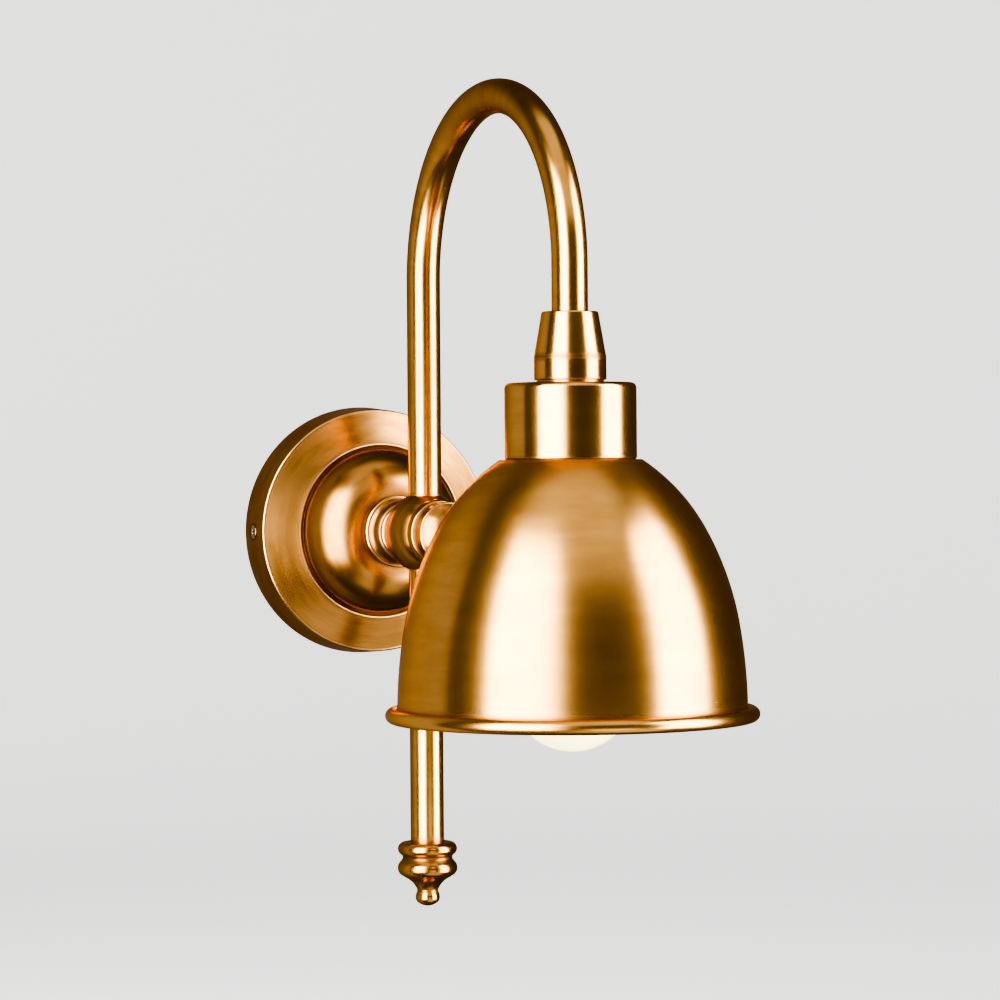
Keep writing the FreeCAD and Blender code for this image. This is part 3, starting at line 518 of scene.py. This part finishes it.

# collar: a flange, a hollow neck and two thin beads, with painted shade and patina in the grooves and seams
CP, CF, CB = 37.8, 52.6, 5.05
OUT_ = (0, 1)
lathe("arm_collar_turned", "arm_collar", "out", [
    (CP, CB), (CP, 13.7), (CP + 0.35, 14.2), (CP + 2.5, 14.2), (CP + 2.85, 13.8), (CP + 3.0, 13.2, 4.2, (-1, -1)), (CP + 7.0, 10.9),
    (CP + 7.1, 11.0, 1.25, OUT_), (CP + 9.2, 11.0), (CP + 9.4, 10.5), (CP + 9.6, 10.7, 1.15, OUT_), (CP + 11.6, 10.7),
    (CP + 11.9, 10.1), (CF - 1.0, 9.3), (CF, 8.5), (CF, CB)], M_KNUCKLE, seg=128, edge=0.15, body="wall_mount", seam_shade=ring_seam_shade("out", (CP, 14.2, 1.1, 1.0), (CP + 2.95, 13.4, 1.0, 0.9), (CP + 7.05, 10.9, 1.0, 1.0), (CP + 9.4, 10.4, 0.7, 1.0), (CP + 11.9, 10.0, 1.0, 1.0), (CF, 8.6, 1.2, 1.0)))

# ball of the knuckle, with the tube's and the stem's shallow seats left to the tubes that stand in it
RB, BB, BF, BD = 15.6, 13.1, 11.2, 66.0
bbr, bfr = math.sqrt(RB ** 2 - BB ** 2), math.sqrt(RB ** 2 - BF ** 2)
lathe("knuckle_ball_turned", "knuckle_ball", "out", [
    (BD - BB, 0), (BD - BB, bbr, RB, (-1, 1)), (BD, RB, RB, (1, 1)), (BD + BF, bfr), (BD + BF, 0)], M_KNUCKLE, seg=192, edge=0.25, body="arm", step=2.5, seam_shade=ball_seam_shade)
KC = BD + BF
# painted shade with patina where the cap meets the ball and in its groove
lathe("knuckle_cap_turned", "knuckle_cap", "out", [
    (KC - 5.8, 0), (KC - 5.8, 4.0), (KC, 4.0), (KC, 11.6), (KC + 0.5, 12.3, 3.2, OUT_), (KC + 4.9, 12.3), (KC + 5.2, 11.6),
    (KC + 5.9, 11.1, 0.7, (0, -1)), (KC + 6.8, 11.3), (KC + 7.2, 11.9), (KC + 11.6, 12.15, 0.9, (1, 1)), (KC + 12.4, 11.4, 15.096154, (1, 0.35)), (KC + 17.6, 0)],
    M_KNUCKLE, seg=128, edge=0.15, body="arm", seam_shade=ring_seam_shade("out", (KC, 11.6, 0.9, 1.0), (KC + 6.2, 11.0, 1.1, 1.0)))

# lower stem and finial, with painted shade and patina at their seams and in the finial's grooves
SE, BEAD = -123.4, 4.7
lathe("lower_stem_tube", "lower_stem", "up", [(-8.0, TUBE_B), (-8.0, TUBE_R), (SE, TUBE_R), (SE, TUBE_B)], M_TUBE, y=STEM_Y, seg=96, body="arm", seam_shade=ring_seam_shade(STEM_Y, (-13.6, TUBE_R, 2.2, 0.9), (-119.9, TUBE_R, 2.2, 1.0)))
lathe("finial_turned", "finial", "up", [
    (SE, 0), (SE, TUBE_R), (-119.9, TUBE_R), (-119.9, 9.6), (-120.2, 10.2, 2.6, OUT_), (-124.4, 10.6), (-125.0, 9.9, 1.3, (0, -1)),
    (-126.6, 9.9), (-127.6, 10.7, 3.4, OUT_), (-132.4, 10.5), (-133.6, 8.6, 9.0, (-1, -1)), (-138.2, 4.15), (-139.0, 4.0410, BEAD, OUT_),
    (-141.4, BEAD, BEAD - 2.1538462, (-1, 1)), (-143.3904232, 3.7416481, 6.0, (-1, 0.4)), (-144.7, 0)], M_FINIAL, y=STEM_Y, seg=112, edge=0.18, body="arm", seam_shade=ring_seam_shade(STEM_Y, (-119.9, TUBE_R, 1.8, 1.0), (-125.8, 9.8, 1.5, 1.0), (-138.7, 4.1, 1.6, 1.0), (-133.8, 8.4, 1.2, 0.6)))

# lampholder cap, spacer, gallery, with painted shade and patina at their seams
CT, CTE, CL, CR, CTR, GT, GR, GW, GD, STP, NR = 80.1, 64.1, 55.9, 12.85, 10.15, 55.0, 23.4, 1.1, 2.0, 27.9, 5.0
lathe("lampholder_cap_turned", "lampholder_cap", "up", [
    (CT, TUBE_R), (CT, CTR - 0.7, 0.7, (1, 1)), (CT - 0.6, CTR), (CTE, CR - 0.05), (CL + 0.3, CR), (CL, CR - 0.3), (CL, 11.5),
    (CTE - 2.6, 11.5), (CTE - 0.6, 9.4), (CTE - 0.6, TUBE_R)], M_CAPS, y=LEG_Y, seg=128, edge=0.2, body="arm", seam_shade=ring_seam_shade(LEG_Y, (CT, TUBE_R, 1.8, 1.0), (CTE, CR - 0.05, 0.8, 0.7), (CL, CR, 1.2, 0.9)))
# the whole spacer is darkened: painted shade in the thin gap between the cap and the gallery
lathe("gallery_spacer_turned", "gallery_spacer", "up", [(GT, NR), (GT, 11.9), (CL, 11.9), (CL, NR)], M_CAPS, y=LEG_Y, seg=96, edge=0.15, body="arm", seam_shade=lambda x, y, z: 0.9)
lathe("shade_gallery_spun", "shade_gallery", "up", [
    (GT, NR), (GT, GR - GD, GD, (1, 1)), (GT - GD, GR), (STP + 0.5, GR), (STP, GR - 0.3), (STP, GR - GW), (GT - GD, GR - GW, GD - GW, (1, 1)), (GT - GW, GR - GD), (GT - GW, NR)],
    M_CAPS, y=LEG_Y, seg=192, edge=0.2, body="arm", seam_shade=ring_seam_shade(LEG_Y, (GT, 12.0, 2.4, 1.0), (STP, GR, 1.8, 1.0)))

# shade, with painted shade and patina where the gallery sits and in the rolled rim's crevice
RA, RBB, RC, TA, TB, W, DR, DF, CU, CUX = 187.1, 107.3, 69.1, 9.95, 29.27, 0.9, 61.95, -62.0, 2.6, 63.62
ca, sa = math.cos(math.radians(TA)), math.sin(math.radians(TA))
cb, sb = math.cos(math.radians(TB)), math.sin(math.radians(TB))
AX, AZ_ = DR - RA, DF
BX, BZ = AX + (RA - RBB) * ca, AZ_ + (RA - RBB) * sa
CX, CZ = BX + (RBB - RC) * cb, BZ + (RBB - RC) * sb
tc = math.degrees(math.asin((STP - CZ) / RC))
tci = math.degrees(math.asin((STP - W - CZ) / (RC - W)))


def on(cx, cz, rad, ang):
    return (cz + rad * math.sin(math.radians(ang)), cx + rad * math.cos(math.radians(ang)))


TIP = math.radians(126.0)
lathe("shade_spun", "shade", "up", [
    (STP, NR), on(CX, CZ, RC, tc) + (RC, (1, 1)), on(CX, CZ, RC, TB) + (RBB, (0.3, 1)), on(BX, BZ, RBB, TA) + (RA, (0, 1)),
    (DF, DR, CU - W, (-1, -1)), (DF - (CU - W), CUX, CU - W, (-1, 1)), (DF, CUX + CU - W, CU - W, (1, 1)),
    (DF + (CU - W), CUX, CU - W, (1, -1)), (DF + (CU - W) * math.sin(TIP), CUX + (CU - W) * math.cos(TIP)),
    (DF + CU * math.sin(TIP), CUX + CU * math.cos(TIP), CU, (1, -1)), (DF + CU, CUX, CU, (1, 1)), (DF, CUX + CU, CU, (-1, 1)), (DF - CU, CUX, CU, (-1, -1)),
    (DF, DR - W, RA - W, (0, 1)), on(BX, BZ, RBB - W, TA) + (RBB - W, (0.3, 1)), on(CX, CZ, RC - W, TB) + (RC - W, (1, 1)),
    on(CX, CZ, RC - W, tci), (STP - W, NR)], M_SHADE, y=LEG_Y, seg=256, edge=0.2, body="arm", step=5.0, seam_shade=ring_seam_shade(LEG_Y, (STP, GR, 4.6, 1.0), (DF + 1.6, DR, 1.8, 1.0), (DF + 3.0, DR + 0.6, 1.5, 0.7)))

# lampholder body and lamp
HR, HM, SHR, HT = 19.6, -24.0, 14.6, STP - W
lathe("lampholder_body_moulded", "lampholder_body", "up", [
    (HT, NR), (HT, 12.5), (HT - 1.2, 14.0), (HT - 4.0, 16.6), (5.0, 17.8), (3.8, 18.4), (3.0, HR), (HM + 0.6, HR), (HM, HR - 0.6), (HM, SHR + 0.5), (HM + 0.5, SHR),
    (9.2, SHR), (9.2, 12.6), (22.4, 12.6), (22.4, NR)], M_HOLDER, y=LEG_Y, seg=112, edge=0.25, body="arm", slot="holder_black")
GL, GC, GWL = 22.5, -52.7, 0.8
OZ = GC + 14.6
GRO, GRI = math.sqrt(GL ** 2 - 14.6 ** 2), math.sqrt((GL - GWL) ** 2 - 14.6 ** 2)
lathe("lamp_globe_opal", "lamp_globe", "up", [
    (GC - GL, 0, GL, (-1, 1)), (GC, GL, GL, (1, 1)), (OZ, GRO), (OZ, GRI, GL - GWL, (1, 1)), (GC, GL - GWL, GL - GWL, (-1, 1)), (GC - GL + GWL, 0)],
    M_OPAL, y=LEG_Y, seg=128, edge=0.2, body="lamp", slot="opal_glass", step=3.0)
lathe("lamp_collar_moulded", "lamp_collar", "up", [
    (OZ, GRO - 0.3), (OZ + 0.6, GRO, 16.0, (0.3, 1)), (HM - 2.6, 14.6), (HM - 1.6, 13.6), (HM + 0.4, 13.2), (HM + 0.4, 12.0), (HM - 2.0, 12.0), (OZ + 1.8, 15.6), (OZ, 15.8)],
    M_COLLAR, y=LEG_Y, seg=112, edge=0.25, body="lamp", slot="lamp_white")


# ------------------------------------------------------------------ gooseneck
def gooseneck():
    path = []  # (y, z, tangent y, tangent z)
    z0, z1 = 8.0, ARCH_H
    m = 46
    for i in range(m):
        path.append((STEM_Y, z0 + (z1 - z0) * i / m, 0.0, 1.0))
    m = 132
    for i in range(m + 1):
        a = math.pi * i / m
        path.append((STEM_Y - ARCH_R + ARCH_R * math.cos(a), ARCH_H + ARCH_R * math.sin(a), -math.sin(a), math.cos(a)))
    low = CTE - 0.6
    m = 18
    for i in range(1, m + 1):
        path.append((LEG_Y, ARCH_H + (low - ARCH_H) * i / m, 0.0, -1.0))
    seg = 96
    verts, faces, uv, vw, vg, vgr = [], [], [], [], [], []
    s, prev = 0.0, None
    outer, inner = [], []
    dist = []
    for (y, z, ty, tz) in path:
        if prev:
            s += math.hypot(y - prev[0], z - prev[1])
        prev = (y, z)
        dist.append(s)
    for rad, store in ((TUBE_R - 0.02, outer), (TUBE_B, inner)):
        for (y, z, ty, tz), s in zip(path, dist):
            ny, nz = tz, -ty  # in the plane, across the run
            ring = []
            for j in range(seg):
                a = 2 * math.pi * j / seg
                c, sn = math.cos(a), math.sin(a)
                ring.append(len(verts))
                verts.append((rad * c * MM, (y + rad * sn * ny) * MM, (z + rad * sn * nz) * MM))
                vw.append(0.0)
                low, high = s - 5.2, dist[-1] - 15.4 - s  # to the ball's seat, to the cap's top
                # painted shade with patina where the tube enters the ball and the cap
                vg.append(max(near(abs(low), 2.2), near(abs(high), 2.0)))
                vgr.append((rad * c, rad * sn, s))
            store.append(ring)
    for store, flip in ((outer, False), (inner, True)):
        for i in range(len(path) - 1):
            for j in range(seg):
                j2 = (j + 1) % seg
                f = (store[i][j], store[i][j2], store[i + 1][j2], store[i + 1][j])
                w = ((j, i), (j + 1, i), (j + 1, i + 1), (j, i + 1))
                faces.append(tuple(reversed(f)) if flip else f)
                uv.extend(reversed(w) if flip else w)
    for i, flip in ((0, True), (len(path) - 1, False)):
        for j in range(seg):
            j2 = (j + 1) % seg
            f = (outer[i][j], outer[i][j2], inner[i][j2], inner[i][j])
            w = ((j, i), (j + 1, i), (j + 1, i), (j, i))
            faces.append(tuple(reversed(f)) if flip else f)
            uv.extend(reversed(w) if flip else w)
    me = finish_mesh("gooseneck_bent_tube", verts, faces)
    uvl = me.uv_layers.new(name="UVMap")
    uvl.data.foreach_set("uv", [q for j, i in uv for q in (dist[i] * 0.01, j / seg * 0.4)])
    return register("gooseneck_bent_tube", me, "gooseneck_tube", M_TUBE, vw, vg, vgr, "arm", "antique_brass", dict(seg=seg))


gooseneck()


# ------------------------------------------------------------------ the plate's side screws: raised countersunk heads with a tapered cross recess
def side_screws():
    verts, faces = [], []

    def add(ring_r, x, count=48):
        ids = []
        for j in range(count):
            a = 2 * math.pi * j / count
            ids.append(len(verts))
            verts.append([x, ring_r * math.cos(a), ring_r * math.sin(a)])
        return ids

    for sg in (-1, 1):
        xh = PR - 1.7
        prof = [(xh - 7.6, 1.2), (xh - 7.3, 1.5), (xh - 0.05, 1.5), (xh + 0.0, 1.55), (xh + 1.0, 2.8), (xh + 1.1, 2.88), (xh + 1.18, 2.86), (xh + 1.32, 2.6), (xh + 1.44, 2.0), (xh + 1.49, 1.4)]
        rings = [add(r, x) for x, r in prof]
        cnt = 48
        for a, b in zip(rings, rings[1:]):
            for j in range(cnt):
                j2 = (j + 1) % cnt
                faces.append((a[j], a[j2], b[j2], b[j]) if sg > 0 else (a[j], b[j], b[j2], a[j2]))
        c = len(verts)
        verts.append([xh - 7.6, 0, 0])
        for j in range(cnt):
            j2 = (j + 1) % cnt
            faces.append((c, rings[0][j2], rings[0][j]) if sg > 0 else (c, rings[0][j], rings[0][j2]))
        # the recess: a four-armed star, wide at the face and closing to a point below
        top, mid = [], []
        for j in range(cnt):
            a = 2 * math.pi * j / cnt
            arm = abs(math.cos(2 * a)) ** 6
            r0 = 0.42 + 0.93 * arm
            top.append(len(verts))
            verts.append([xh + 1.49, r0 * math.cos(a), r0 * math.sin(a)])
        for j in range(cnt):
            a = 2 * math.pi * j / cnt
            arm = abs(math.cos(2 * a)) ** 6
            r1 = 0.26 + 0.52 * arm
            mid.append(len(verts))
            verts.append([xh + 0.85, r1 * math.cos(a), r1 * math.sin(a)])
        tip = len(verts)
        verts.append([xh + 0.55, 0, 0])
        last = rings[-1]
        for a, b in ((last, top), (top, mid)):
            for j in range(cnt):
                j2 = (j + 1) % cnt
                faces.append((a[j], a[j2], b[j2], b[j]) if sg > 0 else (a[j], b[j], b[j2], a[j2]))
        for j in range(cnt):
            j2 = (j + 1) % cnt
            faces.append((mid[j], mid[j2], tip) if sg > 0 else (mid[j], tip, mid[j2]))
        start = 0 if sg < 0 else side_screws.split
        for v in verts[start:]:
            v[0] *= sg
        if sg < 0:
            side_screws.split = len(verts)
    real = [(v[0] * MM, (-7.4 + v[1]) * MM, v[2] * MM) for v in verts]
    me = finish_mesh("backplate_cross_screws", real, faces, smooth=True)
    me.materials.append(M_SIDE)
    ob = bpy.data.objects.new("backplate_cross_screws", me)
    scene.collection.objects.link(ob)
    BODY["backplate_cross_screws"] = ("wall_mount", "backplate_side_screws", "screw_steel")
    PIECES["backplate_cross_screws"] = (ob, {})


side_screws()

for nm, (body, node, slot) in BODY.items():
    ob = PIECES[nm][0]
    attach(ob, body)
    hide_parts(node)

# ------------------------------------------------------------------ finishes of the CAD nodes that stay
KEPT = {
    "mounting_bracket": M_ZINC, "earth_cup_washer": M_RAW, "earth_screw": M_RAW, "terminal_block": M_BLOCK, "terminal_sleeves": M_RAW,
    "terminal_screws": M_SCREW, "terminal_block_screw": M_SCREW, "swivel_stop_pin": M_SPRING, "swivel_friction_washer": M_FIBRE,
    "supply_leads": M_SUPPLY, "swivel_spigot": M_RAW, "swivel_stop_washer": M_ZINC, "swivel_wave_washer": M_SPRING, "swivel_locknut": M_RAW,
    "threaded_nipple": M_RAW, "gallery_washer": M_ZINC, "gallery_nut": M_RAW, "lampholder_insert": M_CERAMIC, "holder_screw_shell": M_RAW,
    "holder_centre_contact": M_RAW, "holder_terminals": M_RAW, "holder_terminal_screws": M_SCREW, "lamp_leads": M_LEAD,
    "lamp_screw_cap": M_NICKEL, "lamp_cap_insulator": M_VITRITE, "lamp_tip_contact": M_SOLDER, "lamp_led_board": M_BOARD,
}
for nm, m in KEPT.items():
    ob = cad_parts[nm]
    for sl in range(max(1, len(ob.material_slots))):
        if not ob.material_slots:
            ob.data.materials.append(m)
        else:
            ob.material_slots[sl].material = m

# ------------------------------------------------------------------ stage: pale floor that turns up into a pale surround, soft lights
def stage_mesh(name, verts, faces, mat, smooth=True):
    me = finish_mesh(name, verts, faces, smooth)
    me.materials.append(mat)
    ob = bpy.data.objects.new(name, me)
    scene.collection.objects.link(ob)
    return ob


def surround():
    """A round floor 0.42 m under the light's centre, whose edge curves upwards."""
    prof = [(0.0, 0.0)]
    for r in (0.5, 1.0, 1.6, 2.2, 2.6):
        prof.append((r, 0.0))
    for i in range(1, 13):
        a = math.radians(90 * i / 12)
        prof.append((2.6 + 1.4 * math.sin(a), 1.4 * (1 - math.cos(a))))
    prof += [(4.0, 3.0), (4.0, 6.0)]
    seg = 96
    verts, faces, rings = [], [], []
    for r, z in prof:
        ring = []
        for j in range(1 if r == 0 else seg):
            a = 2 * math.pi * j / seg
            ring.append(len(verts))
            verts.append((r * math.cos(a), -0.1 + r * math.sin(a), -0.42 + z))
        rings.append(ring)
    for a, b in zip(rings, rings[1:]):
        for j in range(seg):
            j2 = (j + 1) % seg
            faces.append((a[0], b[j], b[j2]) if len(a) == 1 else (a[j], b[j], b[j2], a[j2]))
    k = Mat("pale_paper")
    n = k.noise(k.coords(), 3.0, 2.0, 0.5)
    k.set(Base_Color=k.mix(n, (0.74, 0.74, 0.735), (0.72, 0.72, 0.715)), Roughness=0.9, Specular_IOR_Level=0.1, Emission_Color=(1.0, 0.998, 0.992), Emission_Strength=0.82)
    ob = stage_mesh("pale_floor", verts, faces, k.m)
    ob.visible_glossy = False
    ob.visible_diffuse = False
    ob.visible_shadow = False
    return ob


surround()


def emitter_mat(name, colour, strength, edge_u, edge_v, low=0.0, tilt=0.0):
    """Emission that falls off softly to the panel's edges. u and v run 0 to 1 over the panel."""
    m = bpy.data.materials.new(name)
    m.use_nodes = True
    t = m.node_tree
    t.nodes.clear()
    out = t.nodes.new("ShaderNodeOutputMaterial")
    em = t.nodes.new("ShaderNodeEmission")
    em.inputs["Color"].default_value = (*colour, 1)
    uv = t.nodes.new("ShaderNodeUVMap")
    uv.uv_map = "UVMap"
    sep = t.nodes.new("ShaderNodeSeparateXYZ")
    t.links.new(uv.outputs[0], sep.inputs[0])

    def ramp(sock, e0, e1):
        a = t.nodes.new("ShaderNodeMapRange")
        a.interpolation_type = "SMOOTHSTEP"
        a.inputs["From Min"].default_value, a.inputs["From Max"].default_value = 0.0, max(e0, 1e-3)
        t.links.new(sock, a.inputs["Value"])
        b = t.nodes.new("ShaderNodeMapRange")
        b.interpolation_type = "SMOOTHSTEP"
        b.inputs["From Min"].default_value, b.inputs["From Max"].default_value = 1.0, 1.0 - max(e1, 1e-3)
        t.links.new(sock, b.inputs["Value"])
        mlt = t.nodes.new("ShaderNodeMath")
        mlt.operation = "MULTIPLY"
        t.links.new(a.outputs[0], mlt.inputs[0])
        t.links.new(b.outputs[0], mlt.inputs[1])
        return mlt.outputs[0]

    u, v = ramp(sep.outputs[0], *edge_u), ramp(sep.outputs[1], *edge_v)
    mlt = t.nodes.new("ShaderNodeMath")
    mlt.operation = "MULTIPLY"
    t.links.new(u, mlt.inputs[0])
    t.links.new(v, mlt.inputs[1])
    mad = t.nodes.new("ShaderNodeMath")
    mad.operation = "MULTIPLY_ADD"
    t.links.new(mlt.outputs[0], mad.inputs[0])
    mad.inputs[1].default_value = strength * (1 - low)
    mad.inputs[2].default_value = strength * low
    t.links.new(mad.outputs[0], em.inputs["Strength"])
    clear = t.nodes.new("ShaderNodeBsdfTransparent")
    both = t.nodes.new("ShaderNodeAddShader")
    t.links.new(clear.outputs[0], both.inputs[0])
    t.links.new(em.outputs[0], both.inputs[1])
    t.links.new(both.outputs[0], out.inputs[0])
    return m


def panel(name, centre, wide, high, face, mat, tilt=0.0, camera=False, glossy=True, diffuse=True):
    """A flat panel facing the point `face`, u across it to the right as seen from the object, v up."""
    c, f = Vector(centre), Vector(face)
    n = (f - c).normalized()
    r = Vector((0, 0, 1)).cross(n).normalized()
    u = n.cross(r)
    corners = [c - r * wide / 2 - u * high / 2, c + r * wide / 2 - u * high / 2, c + r * wide / 2 + u * high / 2, c - r * wide / 2 + u * high / 2]
    me = bpy.data.meshes.new(name)
    me.from_pydata([tuple(x) for x in corners], [], [(0, 1, 2, 3)])
    uvl = me.uv_layers.new(name="UVMap")
    uvl.data.foreach_set("uv", [0, 0, 1, 0, 1, 1, 0, 1])
    me.materials.append(mat)
    ob = bpy.data.objects.new(name, me)
    scene.collection.objects.link(ob)
    ob.visible_camera = camera
    ob.visible_glossy = glossy
    ob.visible_diffuse = diffuse
    ob.visible_shadow = False
    ob.visible_transmission = False
    return ob


def polar(az, dist, z, centre=(0.0, -0.19)):
    a = math.radians(az)
    return (centre[0] + math.sin(a) * dist, centre[1] - math.cos(a) * dist, z)


AIM = (0.0, -0.19, 0.0)
L_AZ, R_AZ = -56.0, 51.0
panel("soft_left", polar(L_AZ, 1.15, 0.28), 1.13, 2.3, (AIM[0], AIM[1], 0.28), emitter_mat("soft_left", (1.0, 0.985, 0.94), 13.5, (0.34, 0.06), (0.10, 0.16)))
panel("soft_right", polar(R_AZ, 1.15, 0.20), 0.92, 2.2, (AIM[0], AIM[1], 0.20), emitter_mat("soft_right", (1.0, 0.985, 0.94), 12.0, (0.14, 0.14), (0.10, 0.16)))


def bent_sheet(lo=28.0, hi=105.0, rad=1.5, az=-7.0, wide=1.95, strength=0.92, name="overhead_sheet", edge_v=(0.16, 0.20)):
    """A sheet bent round the front of the light, from lo to hi degrees above the level."""
    a0 = math.radians(az)
    fwd, side = Vector((math.sin(a0), -math.cos(a0), 0)), Vector((math.cos(a0), math.sin(a0), 0))
    verts, faces, uv, m = [], [], [], 16
    for i in range(m + 1):
        e = math.radians(lo + (hi - lo) * i / m)
        c = Vector(AIM) + rad * (math.cos(e) * fwd + math.sin(e) * Vector((0, 0, 1)))
        verts += [tuple(c - side * wide / 2), tuple(c + side * wide / 2)]
    for i in range(m):
        faces.append((2 * i, 2 * i + 1, 2 * i + 3, 2 * i + 2))
        uv += [0, i / m, 1, i / m, 1, (i + 1) / m, 0, (i + 1) / m]
    me = bpy.data.meshes.new(name)
    me.from_pydata(verts, [], faces)
    me.uv_layers.new(name="UVMap").data.foreach_set("uv", uv)
    me.materials.append(emitter_mat(name, (1.0, 0.98, 0.93), strength, (0.30, 0.30), edge_v))
    ob = bpy.data.objects.new(name, me)
    scene.collection.objects.link(ob)
    ob.visible_camera = False
    ob.visible_shadow = False
    ob.visible_transmission = False


bent_sheet()
bent_sheet(lo=-80.0, hi=-22.0, rad=1.3, az=12.0, wide=1.6, strength=0.85, name="low_sheet", edge_v=(0.2, 0.35))

# a low card in front of the stem, which its middle reflects
panel("low_card", (-0.016, -0.52, -0.225), 0.24, 0.22, (0.0, -0.066, -0.225), emitter_mat("low_card", (1.0, 0.94, 0.72), 1.3, (0.3, 0.3), (0.25, 0.25)))

# weak light from behind, so that the back and the inside of the plate read too
panel("back_glow", (0.0, 1.7, 0.25), 3.4, 2.6, (0.0, -0.1, 0.0), emitter_mat("back_glow", (1.0, 0.98, 0.94), 0.06, (0.3, 0.3), (0.3, 0.3)))
panel("back_soft", (-0.7, 1.3, 0.5), 1.2, 1.2, (0.0, -0.02, 0.0), emitter_mat("back_soft", (1.0, 0.98, 0.94), 5.0, (0.3, 0.3), (0.3, 0.3)), glossy=False)

# a pale board in the mounting plane, seen by reflections only
def wall_board():
    x0, x1, z0, z1 = -0.53, 0.06, -0.62, 0.40
    m = emitter_mat("board_reflection", (1.0, 0.965, 0.92), 0.45, (0.03, 0.46), (0.12, 0.30))
    me = bpy.data.meshes.new("wall_board")
    y = 0.004
    me.from_pydata([(x0, y, z0), (x1, y, z0), (x1, y, z1), (x0, y, z1)], [], [(0, 1, 2, 3)])
    uvl = me.uv_layers.new(name="UVMap")
    uvl.data.foreach_set("uv", [0, 0, 1, 0, 1, 1, 0, 1])
    me.materials.append(m)
    ob = bpy.data.objects.new("wall_board", me)
    scene.collection.objects.link(ob)
    ob.visible_camera = False
    ob.visible_shadow = False
    ob.visible_transmission = False
    return ob


wall_board()

world = bpy.data.worlds.new("studio")
world.use_nodes = True
bg = world.node_tree.nodes["Background"]
bg.inputs[0].default_value = (1.0, 0.97, 0.93, 1.0)
bg.inputs[1].default_value = 0.085
scene.world = world

scene.view_settings.view_transform = "AgX"
scene.view_settings.look = "AgX - High Contrast"
scene.view_settings.exposure = 0.0

bpy.context.view_layer.update()
